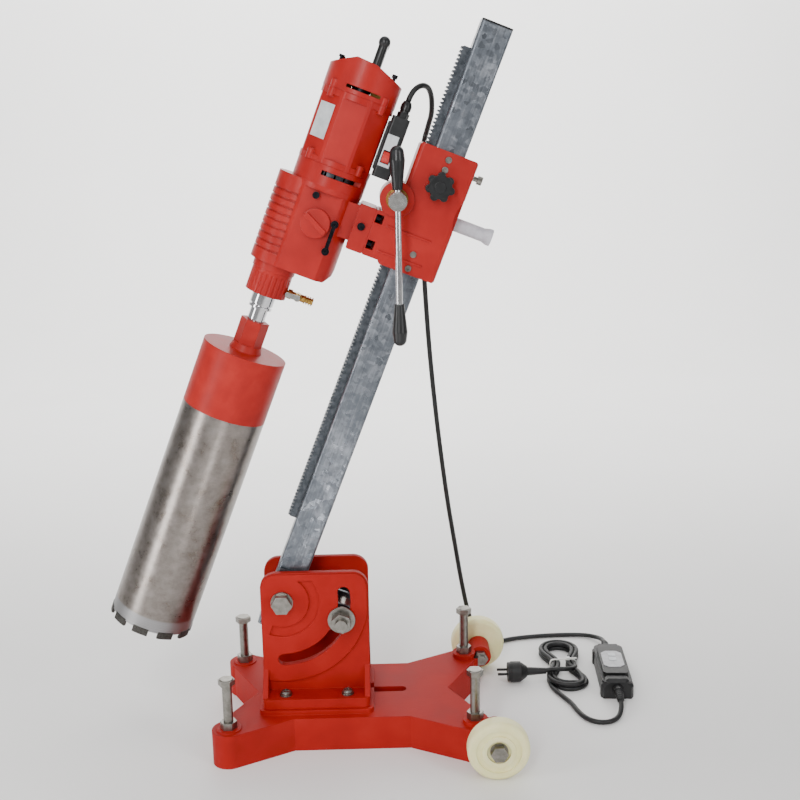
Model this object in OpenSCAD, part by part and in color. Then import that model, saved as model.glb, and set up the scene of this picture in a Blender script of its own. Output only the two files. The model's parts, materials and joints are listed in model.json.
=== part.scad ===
// Core drill rig: a geared wet drill on a rack-and-pinion mast that tilts on a wheeled cast base.
// X runs from the drill to the wheels, Y away from the crank, Z up; the origin is on the floor.

/* [Base] */
// Half the spacing of the levelling screws along X
screw_x = 202; // [195:1:206]
// Half the spacing of the levelling screws along Y
screw_y = 123; // [120:1:148]
// Radius of the round end of each arm
arm_r = 28; // [24:1:32]
// Height of the base casting's deck
deck_z = 58; // [50:1:68]
// Half the depth of the casting at its waist
waist_y = 98; // [92:1:112]
// Where the notch between the arms starts
notch_x = 165; // [158:1:178]
// Wall of the base casting
base_wall = 9; // [6:0.5:11]
// Height of the pad under the bracket
pad_h = 8; // [5:1:12]
// Width of the anchor slot
slot_w = 18; // [14:1:22]
// Left end of the anchor slot
slot_start = 14; // [10:1:30]
// Right end of the anchor slot
slot_end = 92; // [80:1:104]

/* [Wheels and screws] */
// Wheel radius
wheel_r = 50; // [44:1:56]
// Wheel width
wheel_w = 29; // [24:1:34]
// Wheel centre along X
wheel_x = 233; // [225:1:250]
// Gap between the wheel and the floor
wheel_gap = 1.5; // [1:0.5:4]
// Axle radius
axle_r = 8; // [6:0.5:9]
// Levelling screw radius
level_r = 8; // [6:0.5:9]
// Levelling screw length under the head
level_len = 132; // [120:1:140]
// Extra height of the screw bosses at the wheel end
boss_step = 8; // [4:1:12]

/* [Bracket] */
// Left edge of the bracket plates
plate_x0 = -150; // [-156:1:-146]
// Right edge of the bracket plates
plate_x1 = 30; // [26:1:40]
// Top of the bracket plates
plate_top = 294; // [286:1:310]
// Thickness of each bracket plate
plate_t = 10; // [8:0.5:12]
// Raised relief on the plates
relief = 3; // [2:0.5:4]
// Thickness of the bracket's foot
foot_t = 18; // [12:1:20]
// Half the depth of the bracket's foot
foot_y = 80; // [78:1:88]

/* [Tilt] */
// Pivot position along X
pivot_x = -114; // [-118:1:-110]
// Pivot height
pivot_z = 244; // [238:1:252]
// Lean of the mast from vertical
mast_tilt = 21.5; // [15:0.5:26]
// Radius of the arc slot
arc_r = 104; // [98:1:108]
// Radius of the pivot and clamp bolts
bolt_r = 10; // [8:0.5:11]

/* [Mast] */
// Side of the square mast tube
mast_w = 50; // [46:1:54]
// Wall of the mast tube
mast_wall = 3.5; // [2.5:0.5:5]
// Top of the mast above the pivot
mast_top = 984; // [930:1:1100]
// Module of the rack and its pinion
rack_m = 2; // [1.8:0.1:2.2]
// Thickness of the rack bar to its tooth tips
rack_t = 15; // [13:0.5:17]
// Width of the rack bar
rack_w = 20; // [16:1:24]

/* [Carriage] */
// Lower end of the carriage above the pivot
car_z = 586; // [520:1:610]
// Length of the carriage
car_len = 198; // [188:1:206]
// Half the depth of the carriage
car_y = 45; // [43:1:47]
// Right side of the carriage
car_x = 47; // [45:1:51]
// Face that the drill is bolted to
face_x = -75; // [-79:1:-73]
// Teeth on the pinion
pinion_n = 14; // [14:1:15]
// Crank rod radius
rod_r = 5; // [4:0.5:6]
// Crank rod length with its grips
crank_len = 300; // [270:1:330]
// Star knob radius
knob_r = 23; // [20:1:26]

/* [Drill] */
// Distance of the spindle axis from the mast's centre
spindle_x = 197; // [192:1:205]
// Offset between the motor axis and the spindle axis
motor_off = 36; // [34:1:38]
// Motor radius
motor_r = 58.5; // [56:0.5:61]
// Radius of the gearbox around the spindle
gear_r = 42; // [40:0.5:44]
// Half the depth of the gearbox
gear_y = 46; // [44:1:50]
// Height of the gearbox
gear_h = 142; // [138:1:150]
// Length of the motor housing
motor_h = 112; // [106:1:124]
// Radius of the water collar
collar_r = 33; // [29:0.5:35]
// Height of the water collar
collar_h = 52; // [44:1:56]
// Spindle radius
spin_r = 14; // [12:0.5:15]

/* [Core bit] */
// Outer radius of the bit
bit_r = 69; // [40:1:76]
// Wall of the bit tube
bit_wall = 3; // [2:0.5:4]
// Length of the bit from its crown to its tips
bit_len = 498; // [300:1:520]
// Length of the painted crown
crown_h = 106; // [70:1:130]
// Number of diamond segments
seg_n = 10; // [6:1:14]
// Hexagon across flats
hex_af = 41; // [32:1:46]

/* [Lead] */
// Lead radius
lead_r = 4.3; // [3.5:0.1:5]

/* [Hidden] */
$fn = 64;

// Fits
run = 0.05;       // running fit of a shaft in its hole, radial
gap = 0.3;        // running gap between bodies
loose = 0.4;      // clearance hole around a fixed screw
eps = 1;          // overshoot of a cut

// Derived heights and places
pad_z = deck_z + pad_h;
foot_top = pad_z + foot_t;
wheel_z = wheel_r + wheel_gap;
lug_r = axle_r * 2.5;
rib_t = 8;        // ribs under the deck
lug_y0 = screw_y + 7;
lug_y1 = lug_y0 + 47;
washer_t = 3;
nut_m16 = 12;
af_m16 = 24;
wheel_y0 = lug_y1 + washer_t + gap;
wheel_y1 = wheel_y0 + wheel_w;
hub_recess = 5;
plate_y0 = mast_w / 2 + 7;
cheek_t = plate_y0 - mast_w / 2 - 0.5;
plate_y1 = plate_y0 + plate_t;
relief_y = plate_y1 + relief;
slot_hw = bolt_r + 0.5;
slot_a0 = -90;
slot_a1 = 8;
clamp_a = 2.8;    // the clamp bolt's bearing from the mast's own X
af_m20 = bolt_r * 3;
nut_m20 = 16;
head_m20 = 12.5;
washer_m20 = 4;
valley_r0 = 45;   // recess between the pivot boss and the slot's band
valley_r1 = arc_r - 42;
band_r1 = arc_r + 40;
screw_px = 52;    // foot screws either side of the bracket's middle
foot_mx = (plate_x0 + plate_x1) / 2;
screw_py = (plate_y1 + foot_y) / 2 + 1;

// Rack and pinion
rack_p = PI * rack_m;
stub = 0.8;       // addendum in modules
dedend = 1.15;    // dedendum in modules
pinion_r = pinion_n * rack_m / 2;
rack_out = mast_w / 2 + rack_t;
pitch_x = rack_out - stub * rack_m;
pinion_x = -(pitch_x + pinion_r);
pinion_z = car_z + 103;
rack_lo = 88;     // teeth below the pinion
rack_hi = 40;     // teeth above the pinion
rack_z0 = pinion_z - rack_lo * rack_p;
rack_z1 = pinion_z + rack_hi * rack_p;
rack_start = 132; // lowest place of the rack above the pivot
rack_end = 43;    // mast left bare above the rack
rack_k0 = ceil((rack_start - rack_z0) / rack_p);
rack_k1 = floor((mast_top - rack_end - pinion_z) / rack_p);

// Carriage
car_top = car_z + car_len;
bore_y = mast_w / 2 + 2.5;
bore_x0 = -(rack_out + 2);
bore_x1 = mast_w / 2 + 2.5;
left_x = bore_x0 - 6;
boss_r = 27;
boss_y = car_y + 5;
shaft_r = 8;
hub_r = 14;
crank_y = -(boss_y + 47);
hub_end = crank_y - 15;
flange_z0 = car_z + 5;
flange_z1 = car_z + 78;
knob_z = car_z + 144;
knob_x = 2;
shoe_r = 9;
stud_r = 5;
guide_r = 5;      // adjusting screws of the guides
grip_z = car_z + 96;
bolt_y = car_y - 12;
grip_l = 64;      // crank grips
grip_r = 12;

// Drill
sp_x = -spindle_x;
mo_x = sp_x + motor_off;
gear_z0 = car_z - 60;
gear_z1 = gear_z0 + gear_h;
ring_z1 = gear_z1 + 32;
motor_z0 = ring_z1;
motor_z1 = motor_z0 + motor_h;
cap_edge = motor_z1 + 34;
cap_apex = cap_edge + 20;
motor_wall = 7;
handle_y = 34;    // half the spacing of the lifting handle's posts
collar_z0 = gear_z0 - collar_h;
spindle_z0 = collar_z0 - 47;
bore_sp = spin_r + 2;
bear_sp = 26;
clip_x = mo_x + 32; // pin spanner's clip
case_screw_z = gear_z1 - 16;
seat = 0.1;       // radial seat of a bearing or stator
lay = 0.03;       // parting between stacked fasteners

// Gears
m1 = 1.25;
n_arm = 12;
n_mid = 32;
m2 = 1.5;
n_pin = 13;
n_sp = 37;
c1 = m1 * (n_arm + n_mid) / 2;
c2 = m2 * (n_pin + n_sp) / 2;
mid_dx = (c1 * c1 - c2 * c2 + motor_off * motor_off) / (2 * motor_off);
mid_dy = sqrt(c1 * c1 - mid_dx * mid_dx);
mid_x = mo_x - mid_dx;
mid_y = mid_dy;
gear1_z = gear_z0 + 92;
gear2_z = gear_z0 + 64;
gear_w = 16;

// Bit
hex_top = spindle_z0;
hex_h = 41;
neck_h = 11;
crown_top = hex_top - hex_h - neck_h;
crown_z0 = crown_top - crown_h;
bit_bot = crown_top - bit_len;
seg_h = 12;
seg_up = 3;

// Switch box
sw_x0 = mo_x + motor_r - 3.5;
sw_x1 = sw_x0 + 32;
sw_z0 = motor_z0 + 9;
sw_z1 = sw_z0 + 97;
sw_y0 = -32;
sw_y1 = 20;
rk_x = (sw_x0 + sw_x1) / 2;
rk_z = sw_z0 + 33;
gl_x = rk_x + 3;
gl_y = -6;
gl_z = sw_z1;
gland_h = 26;

// Water tap
tap_z = collar_z0 + 12;
tap_x0 = sp_x + collar_r;

// Safety switch on the floor
prcd_x = 480;
prcd_y = 130;
prcd_l = 156;
prcd_w = 54;
prcd_h = 40;
prcd_a = 86;
btn_x0 = -2;
btn_x1 = 16;

// Lead routes: the upper stretch is in the mast's frame, the rest stands on the floor frame
join_y = 88;
upper_pts = [[-87, -6, 832], [-86.5, -5.5, 842], [-83, -1, 854], [-75, 9, 863], [-65, 23, 864],
    [-56, 37, 856], [-49, 50, 843], [-44, 62, 829], [-42, 74, 814], [-40, join_y, 796]];
function to_world(p) = [pivot_x + p[0] * cos(mast_tilt) + p[2] * sin(mast_tilt), p[1],
    pivot_z - p[0] * sin(mast_tilt) + p[2] * cos(mast_tilt)];
join_pt = to_world(upper_pts[len(upper_pts) - 1]);
drop_pts = [join_pt, [136, 106, 975], [134, 118, 945], [134, 127, 910], [134, 134, 870],
    [136, 141, 800], [140, 149, 720], [146, 158, 630], [155, 169, 530], [166, 181, 430],
    [179, 195, 330], [193, 210, 240], [206, 225, 160], [219, 240, 95], [234, 256, 46],
    [252, 271, 17], [278, 288, 6], [312, 302, 5], [352, 310, 5], [396, 314, 5],
    [434, 314, 5], [462, 308, 6], [480, 292, 9], [488, 272, 13]];
tail_pts = [[470, -2, 13], [460, -24, 6], [441, -38, 5], [419, -36, 5], [403, -20, 5],
    [396, 4, 5], [395, 34, 5], [395, 64, 9], [395, 80, 12]];
gland_d = prcd_l / 2 + 14;
gland_z = 19;
prcd_dir = [cos(prcd_a), sin(prcd_a), 0];
function gland_pt(s, d) = [prcd_x, prcd_y, gland_z] + s * (gland_d + d) * prcd_dir;
lower_pts = concat(drop_pts, [gland_pt(1, 24) - [0, 0, 2], gland_pt(1, 12), gland_pt(1, 0)]);
rear_pts = concat([gland_pt(-1, 0), gland_pt(-1, 18)], tail_pts);
hank_x = 395;
hank_y0 = 80;
hank_l = 190;
hank_w = 78;
hank_h = 34;
plug_y = 130;
plug_z = 19.5;

// ---- helpers ----

module tilted() {
    translate([pivot_x, 0, pivot_z]) rotate([0, mast_tilt, 0]) children();
}

module at_spindle() {
    tilted() translate([sp_x, 0, 0]) children();
}

module at_motor() {
    tilted() translate([mo_x, 0, 0]) children();
}

// Round bar along Y between two stations
module ybar(r, y0, y1) {
    translate([0, y0, 0]) rotate([-90, 0, 0]) cylinder(r = r, h = y1 - y0);
}

// Round bar along X between two stations
module xbar(r, x0, x1) {
    translate([x0, 0, 0]) rotate([0, 90, 0]) cylinder(r = r, h = x1 - x0);
}

// Hexagon along Y, flats up
module yhex(af, y0, y1) {
    translate([0, y0, 0]) rotate([-90, 0, 0]) cylinder(r = af / sqrt(3), h = y1 - y0, $fn = 6);
}

// Box between two corners
module box(a, b) {
    translate(a) cube(b - a);
}

// Box with round edges along Z
module zpad(a, b, r) {
    box([a[0] + r, a[1], a[2]], [b[0] - r, b[1], b[2]]);
    box([a[0], a[1] + r, a[2]], [b[0], b[1] - r, b[2]]);
    for (x = [a[0] + r, b[0] - r], y = [a[1] + r, b[1] - r])
        translate([x, y, a[2]]) cylinder(r = r, h = b[2] - a[2], $fn = 32);
}

// Box with round edges along Y
module ypad(a, b, r) {
    box([a[0] + r, a[1], a[2]], [b[0] - r, b[1], b[2]]);
    box([a[0], a[1], a[2] + r], [b[0], b[1], b[2] - r]);
    for (x = [a[0] + r, b[0] - r], z = [a[2] + r, b[2] - r])
        translate([x, 0, z]) ybar(r, a[1], b[1], $fn = 32);
}

function unit(v) = v / norm(v);
function inv_xy(rb, t) =
    let (u = t * PI / 180) [rb * (cos(t) + u * sin(t)), rb * (sin(t) - u * cos(t))];
function turn(p, a) = [p[0] * cos(a) - p[1] * sin(a), p[0] * sin(a) + p[1] * cos(a)];
function inv_deg(a) = tan(a) * 180 / PI - a;

// One gear outline: involute flanks with a little backlash
function gear_pts(m, n, back) =
    let (rp = m * n / 2, rb = rp * cos(20), ra = rp + stub * m, rf = rp - dedend * m)
    let (half = 90 / n - back / rp * 90 / PI, t1 = sqrt(ra * ra / rb / rb - 1) * 180 / PI)
    let (rs = max(rb, rf), t0 = sqrt(max(0, rs * rs / rb / rb - 1)) * 180 / PI)
    let (off = half + inv_deg(20), ts = [for (i = [0:4]) t0 + (t1 - t0) * i / 4])
    [for (k = [0:n - 1]) each concat(
        [turn([rf, 0], k * 360 / n - off)],
        [for (t = ts) turn(turn(inv_xy(rb, t), -off), k * 360 / n)],
        [for (i = [4:-1:0]) let (p = inv_xy(rb, ts[i])) turn(turn([p[0], -p[1]], off), k * 360 / n)],
        [turn([rf, 0], k * 360 / n + off)]
    )];

module gear(m, n, h, back) {
    linear_extrude(height = h) polygon(gear_pts(m, n, back));
}

// Smooth tube through hand-set points: a curve passes through each, rings carried along it
function cat(p, i, t) =
    let (a = p[max(i - 1, 0)], b = p[i], c = p[i + 1], d = p[min(i + 2, len(p) - 1)])
    0.5 * ((2 * b) + (c - a) * t + (2 * a - 5 * b + 4 * c - d) * t * t
        + (3 * b - a - 3 * c + d) * t * t * t);
function spline(p, step) = concat(
    [for (i = [0:len(p) - 2]) let (n = max(1, ceil(norm(p[i + 1] - p[i]) / step)))
        for (k = [0:n - 1]) cat(p, i, k / n)], [p[len(p) - 1]]);
function carry(c, i, up) =
    let (t = unit(c[min(i + 1, len(c) - 1)] - c[max(i - 1, 0)])) unit(up - t * (up * t));
function ups(c, i, up) = i == len(c) ? [] :
    let (u = carry(c, i, up)) concat([u], ups(c, i + 1, u));

module sweep_tube(pts, r, sides, step, first, last) {
    c = spline(pts, step);
    m = len(c);
    u = ups(c, 0, [0.3, 0.2, 1]);
    ring = [for (i = [0:m - 1])
        let (t = i == 0 ? first : i == m - 1 ? last : unit(c[i + 1] - c[i - 1]))
        let (n1 = unit(u[i] - t * (u[i] * t)), n2 = cross(t, n1))
        for (k = [0:sides - 1]) c[i] + r * (cos(k * 360 / sides) * n1 + sin(k * 360 / sides) * n2)];
    sidesf = [for (i = [0:m - 2], k = [0:sides - 1])
        let (a = i * sides, j = (k + 1) % sides) [a + k, a + j, a + sides + j, a + sides + k]];
    lid0 = [[for (k = [sides - 1:-1:0]) k]];
    lid1 = [[for (k = [0:sides - 1]) (m - 1) * sides + k]];
    polyhedron(points = ring, faces = concat(sidesf, lid0, lid1), convexity = 6);
}

// ---- base ----

// Outline of the X-shaped casting, drawn in by a wall
function base_pts(in) =
    let (nx = notch_x - in * 1.3, wx = 97 - in * 0.3, wy = waist_y - in)
    let (ax = screw_x + arm_r * 0.62 - in * 0.9, ay = screw_y - arm_r * 0.78 + in * 0.6)
    let (bx = screw_x - arm_r * 0.35 - in * 0.1, by = screw_y + arm_r * 0.936 - in)
    [[nx, 0], [ax, ay], [screw_x + arm_r - in, screw_y], [bx, by], [wx, wy], [-wx, wy],
     [-bx, by], [-screw_x - arm_r + in, screw_y], [-ax, ay], [-nx, 0], [-ax, -ay],
     [-screw_x - arm_r + in, -screw_y], [-bx, -by], [-wx, -wy], [wx, -wy], [bx, -by],
     [screw_x + arm_r - in, -screw_y], [ax, -ay]];

function boss_z(side) = side > 0 ? deck_z + boss_step : deck_z + 2;

module base_casting() {
    color("firebrick") difference() {
        union() {
            difference() {
                union() {
                    linear_extrude(height = deck_z) polygon(base_pts(0));
                    for (sx = [-1, 1], sy = [-1, 1])
                        translate([sx * screw_x, sy * screw_y, 0]) cylinder(r = arm_r, h = deck_z);
                }
                difference() {
                    translate([0, 0, -eps])
                        linear_extrude(height = deck_z - 11 + eps) polygon(base_pts(base_wall));
                    for (sx = [-1, 1], sy = [-1, 1])
                        translate([sx * screw_x, sy * screw_y, -2 * eps]) cylinder(r = 18, h = deck_z);
                    for (x = [-80, -rib_t / 2]) box([x, -waist_y, -2 * eps], [x + rib_t, waist_y, deck_z]);
                    box([112, -waist_y, -2 * eps], [112 + rib_t, waist_y, deck_z]);
                    for (y = [-slot_w / 2 - 6 - rib_t, slot_w / 2 + 6])
                        box([-screw_x, y, -2 * eps], [screw_x, y + rib_t, deck_z]);
                }
            }
            for (sx = [-1, 1], sy = [-1, 1])
                translate([sx * screw_x, sy * screw_y, deck_z - eps])
                    cylinder(r = 21, h = boss_z(sx) - deck_z + eps);
            zpad([plate_x0 - 6, -foot_y - 5, deck_z - eps], [plate_x1 + 6, foot_y + 5, pad_z], 12);
            for (my = [0, 1]) mirror([0, my, 0]) {
                translate([wheel_x, 0, wheel_z]) ybar(lug_r, lug_y0, lug_y1);
                box([screw_x - 10, lug_y0, 14], [wheel_x, screw_y + arm_r + 8, wheel_z + 8]);
            }
        }
        for (sx = [-1, 1], sy = [-1, 1])
            translate([sx * screw_x, sy * screw_y, -eps]) cylinder(r = level_r + run, h = deck_z + 40);
        for (my = [0, 1]) mirror([0, my, 0]) translate([wheel_x, 0, wheel_z]) {
            ybar(axle_r + seat, lug_y0 - eps, lug_y1 + eps);
            ybar(af_m16 / sqrt(3) + 2, lug_y0 - nut_m16 - 8, lug_y0);
        }
        translate([0, 0, -eps])
            zpad([slot_start, -slot_w / 2, 0], [slot_end, slot_w / 2, pad_z + 2 * eps], slot_w / 2 - 0.01);
        for (sx = [-1, 1], sy = [-1, 1])
            translate([foot_mx + sx * screw_px, sy * screw_py, deck_z - 11]) cylinder(r = 5 + loose, h = 40);
    }
}

module base_nuts() {
    color("silver") {
        for (sx = [-1, 1], sy = [-1, 1])
            translate([sx * screw_x, sy * screw_y, boss_z(sx)]) difference() {
                cylinder(r = af_m16 / sqrt(3), h = nut_m16, $fn = 6);
                translate([0, 0, -eps]) cylinder(r = level_r + run, h = nut_m16 + 2 * eps);
            }
        for (my = [0, 1]) mirror([0, my, 0]) translate([wheel_x, 0, wheel_z]) {
            difference() {
                yhex(af_m16, lug_y0 - nut_m16, lug_y0);
                ybar(axle_r + seat, lug_y0 - nut_m16 - eps, lug_y0 + eps);
            }
            difference() {
                ybar(15, lug_y1, lug_y1 + washer_t);
                ybar(axle_r + seat, lug_y1 - eps, lug_y1 + washer_t + eps);
            }
            difference() {
                ybar(14.5, wheel_y1 - hub_recess + gap, wheel_y1 - hub_recess + gap + washer_t - lay);
                ybar(axle_r + seat, wheel_y1 - hub_recess - eps, wheel_y1 + 2 * eps);
            }
        }
    }
}

module axle_bolts() {
    color("silver") for (my = [0, 1])
        mirror([0, my, 0]) translate([wheel_x, 0, wheel_z]) {
            ybar(axle_r, lug_y0 - nut_m16 - 4, wheel_y1);
            yhex(af_m16, wheel_y1 - hub_recess + gap + washer_t, wheel_y1 - hub_recess + gap + washer_t + 10);
        }
}

// Cast nylon wheel: round tread, dished outer face
module wheel(sy) {
    c = 8;
    color("cornsilk") translate([wheel_x, 0, wheel_z]) mirror([0, sy > 0 ? 0 : 1, 0])
        translate([0, wheel_y0, 0]) rotate([-90, 0, 0]) rotate_extrude($fn = 96) difference() {
            union() {
                translate([axle_r + run, 0]) square([wheel_r - c - axle_r - run, wheel_w]);
                translate([axle_r + run, c]) square([wheel_r - axle_r - run, wheel_w - 2 * c]);
                translate([wheel_r - c, c]) circle(r = c);
                translate([wheel_r - c, wheel_w - c]) circle(r = c);
            }
            translate([0, wheel_w - hub_recess]) square([19, hub_recess + eps]);
            translate([27, wheel_w - 2.5]) square([9, 3 + eps]);
        }
}

module wheel_front() { wheel(-1); }
module wheel_rear() { wheel(1); }

// Levelling screw with hexagon head and a blunt point just above the floor
module level_screw(sx, sy) {
    tip = boss_z(sx) - deck_z + 3;
    color("silver") translate([sx * screw_x, sy * screw_y, tip]) {
        translate([0, 0, 4]) cylinder(r = level_r, h = level_len - 4);
        cylinder(r1 = level_r - 3, r2 = level_r, h = 4);
        translate([0, 0, level_len]) cylinder(r = af_m16 / sqrt(3), h = 9, $fn = 6);
        translate([0, 0, level_len + 9]) cylinder(r1 = 11.6, r2 = 10, h = 1.2);
    }
}

module level_screw_fl() { level_screw(-1, -1); }
module level_screw_rl() { level_screw(-1, 1); }
module level_screw_fr() { level_screw(1, -1); }
module level_screw_rr() { level_screw(1, 1); }

// ---- tilt bracket ----

// Ring sector about the pivot, axis along Y
module arc(r0, r1, a0, a1, y0, y1) {
    translate([pivot_x, y1, pivot_z]) rotate([90, 0, 0]) rotate([0, 0, a0])
        rotate_extrude(angle = a1 - a0, $fn = 96) translate([r0, 0]) square([r1 - r0, y1 - y0]);
}

module arc_slot(hw, y0, y1) {
    arc(arc_r - hw, arc_r + hw, slot_a0, slot_a1, y0, y1);
    for (a = [slot_a0, slot_a1])
        translate([pivot_x + arc_r * cos(a), 0, pivot_z + arc_r * sin(a)]) ybar(hw - gap, y0, y1);
}

module side_plate() {
    r = 26;
    difference() {
        union() {
            box([plate_x0, plate_y0, foot_top - eps], [plate_x1, plate_y1, plate_top - r]);
            box([plate_x0 + r, plate_y0, foot_top], [plate_x1 - r, plate_y1, plate_top]);
            for (x = [plate_x0 + r, plate_x1 - r])
                translate([x, 0, plate_top - r]) ybar(r, plate_y0, plate_y1);
            // raised face: all of the plate within the band, but for the curved recess
            difference() {
                intersection() {
                    translate([pivot_x, 0, pivot_z]) ybar(band_r1, plate_y1 - eps, relief_y);
                    union() {
                        box([plate_x0 + 2, plate_y0, foot_top + 4],
                            [plate_x1 - 2, relief_y + eps, plate_top - r]);
                        box([plate_x0 + r, plate_y0, foot_top + 4],
                            [plate_x1 - r, relief_y + eps, plate_top - 2]);
                        for (x = [plate_x0 + r, plate_x1 - r])
                            translate([x, 0, plate_top - r]) ybar(r - 2, plate_y0, relief_y + eps);
                    }
                }
                intersection() {
                    arc(valley_r0, valley_r1, -112, 74, plate_y1, relief_y + eps);
                    box([plate_x0 + 10, plate_y1 - eps, foot_top], [plate_x1, relief_y + 2 * eps, plate_top - 14]);
                }
            }
            for (x = [plate_x0, plate_x1 - 9])
                translate([x, plate_y1, foot_top]) rotate([90, 0, 90])
                    linear_extrude(height = 9)
                        polygon([[-eps, -eps], [foot_y - plate_y1 - 4, -eps], [-eps, 44]]);
        }
        arc_slot(slot_hw, plate_y0 - eps, relief_y + eps);
        translate([pivot_x, 0, pivot_z]) ybar(bolt_r + loose, plate_y0 - eps, relief_y + eps);
    }
}

module tilt_bracket() {
    color("firebrick") difference() {
        union() {
            zpad([plate_x0, -foot_y, pad_z], [plate_x1, foot_y, foot_top], 10);
            side_plate();
            mirror([0, 1, 0]) side_plate();
        }
        for (sx = [-1, 1], sy = [-1, 1])
            translate([foot_mx + sx * screw_px, sy * screw_py, pad_z - eps])
                cylinder(r = 5 + loose, h = foot_t + 2 * eps);
    }
}

module bracket_screws() {
    color("silver") for (sx = [-1, 1], sy = [-1, 1])
        translate([foot_mx + sx * screw_px, sy * screw_py, 0]) {
            difference() {
                union() {
                    translate([0, 0, deck_z - 10]) cylinder(r = 5, h = foot_top + 2 - deck_z + 10);
                    translate([0, 0, foot_top + 2]) cylinder(r = 9, h = 3.4);
                    translate([0, 0, foot_top + 5.4]) cylinder(r1 = 9, r2 = 6.4, h = 2.4);
                }
                for (a = [0, 90])
                    translate([0, 0, foot_top + 6.8]) rotate([0, 0, a]) cube([11, 2, 4], center = true);
            }
            difference() {
                translate([0, 0, foot_top]) cylinder(r = 10.5, h = 2 - lay);
                translate([0, 0, foot_top - eps]) cylinder(r = 5 + seat, h = 4);
            }
        }
}

module hex_joint(y_head, y_nut, stub_len) {
    wy = washer_m20;
    ybar(bolt_r, -y_head - wy, y_nut + wy + nut_m20 + stub_len);
    yhex(af_m20, -y_head - wy - head_m20, -y_head - wy);
    difference() {
        yhex(af_m20, y_nut + wy, y_nut + wy + nut_m20);
        ybar(bolt_r + seat, y_nut, y_nut + wy + nut_m20 + eps);
    }
}

module ring_y(r1, r0, y0, y1) {
    difference() {
        ybar(r1, y0, y1);
        ybar(r0, y0 - eps, y1 + eps);
    }
}

module pivot_bolt() {
    color("silver") translate([pivot_x, 0, pivot_z]) {
        hex_joint(relief_y, relief_y, 4);
        ring_y(18.5, bolt_r + seat, -relief_y - washer_m20 + lay, -relief_y);
        ring_y(18.5, bolt_r + seat, relief_y, relief_y + washer_m20 - lay);
    }
}

// ---- mast ----

module mast_tube() {
    w = mast_w / 2;
    color("gainsboro") tilted() difference() {
        zpad([-w, -w, -58], [w, w, mast_top], 5);
        box([-w + mast_wall, -w + mast_wall, -60], [w - mast_wall, w - mast_wall, mast_top + eps]);
        ybar(bolt_r + 5, -w - eps, w + eps);
        for (z = rack_screw_z()) translate([0, 0, z]) xbar(3 + seat, -w - eps, -w + mast_wall + eps);
    }
}

function rack_screw_z() = [for (k = [rack_k0 + 6:28:rack_lo + rack_k1 - 5]) rack_z0 + k * rack_p];
function clamp_x() = arc_r * cos(clamp_a);
function clamp_z() = arc_r * sin(clamp_a);

// Welded swing arm: two cheeks on the mast tube, joined by the pivot tube
module swing_cheeks() {
    y0 = mast_w / 2;
    y1 = y0 + cheek_t;
    color("dimgray") tilted() difference() {
        union() {
            for (s = [-1, 1]) {
                a = s > 0 ? y0 : -y1;
                b = s > 0 ? y1 : -y0;
                box([-22, a, -52], [22, b, 52]);
                box([0, a, clamp_z() - 20], [clamp_x(), b, clamp_z() + 20]);
                translate([clamp_x(), 0, clamp_z()]) ybar(20, a, b);
            }
            ybar(bolt_r + 5 - seat, -y1, y1);
        }
        ybar(bolt_r + run, -y1 - eps, y1 + eps);
        translate([clamp_x(), 0, clamp_z()]) ybar(bolt_r + seat, -y1 - eps, y1 + eps);
    }
}

module clamp_bolt() {
    y1 = relief_y + gap;
    color("silver") tilted() translate([clamp_x(), 0, clamp_z()]) {
        mirror([0, 1, 0]) hex_joint(y1, y1, 9);
        ring_y(23, bolt_r + seat, -y1 - washer_m20 + lay, -y1);
        ring_y(23, bolt_r + seat, y1, y1 + washer_m20 - lay);
        ring_y(15, bolt_r + seat, -mast_w / 2, mast_w / 2);
    }
}

// Rack bar with straight-flanked teeth
module rack() {
    a = stub * rack_m;
    d = dedend * rack_m;
    back = 0.1;
    tip = PI * rack_m / 4 - a * tan(20) - back;
    root = PI * rack_m / 4 + d * tan(20) - back;
    teeth = [for (k = [rack_k0:rack_lo + rack_k1 - 1]) let (z = rack_z0 + (k + 0.5) * rack_p)
        each [[-pitch_x + d, z - root], [-pitch_x - a, z - tip],
            [-pitch_x - a, z + tip], [-pitch_x + d, z + root]]];
    z0 = rack_z0 + rack_k0 * rack_p;
    z1 = rack_z0 + (rack_lo + rack_k1) * rack_p;
    color("slategray") tilted() difference() {
        translate([0, rack_w / 2, 0]) rotate([90, 0, 0]) linear_extrude(height = rack_w)
            polygon(concat([[-mast_w / 2, z0], [-pitch_x + d, z0]], teeth,
                [[-pitch_x + d, z1], [-mast_w / 2, z1]]));
        for (z = rack_screw_z()) translate([0, 0, z]) {
            xbar(3 + seat, -rack_out - eps, -mast_w / 2 + eps);
            xbar(5.5 + seat, -rack_out - eps, -mast_w / 2 - 4);
        }
    }
}

module rack_screws() {
    color("silver") tilted() for (z = rack_screw_z()) translate([0, 0, z]) difference() {
        union() {
            xbar(3, -mast_w / 2 - 5, -mast_w / 2 + mast_wall + 3);
            xbar(5.5, -mast_w / 2 - 9, -mast_w / 2 - 4);
        }
        translate([-mast_w / 2 - 10, 0, 0]) rotate([0, 90, 0]) cylinder(r = 2.9, h = 4, $fn = 6);
    }
}

module mast_cap() {
    w = mast_w / 2;
    color("black") tilted() {
        zpad([-w, -w, mast_top], [w, w, mast_top + 3], 5);
        box([-w + mast_wall + gap, -w + mast_wall + gap, mast_top - 14],
            [w - mast_wall - gap, w - mast_wall - gap, mast_top]);
    }
}

// ---- carriage ----

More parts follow.
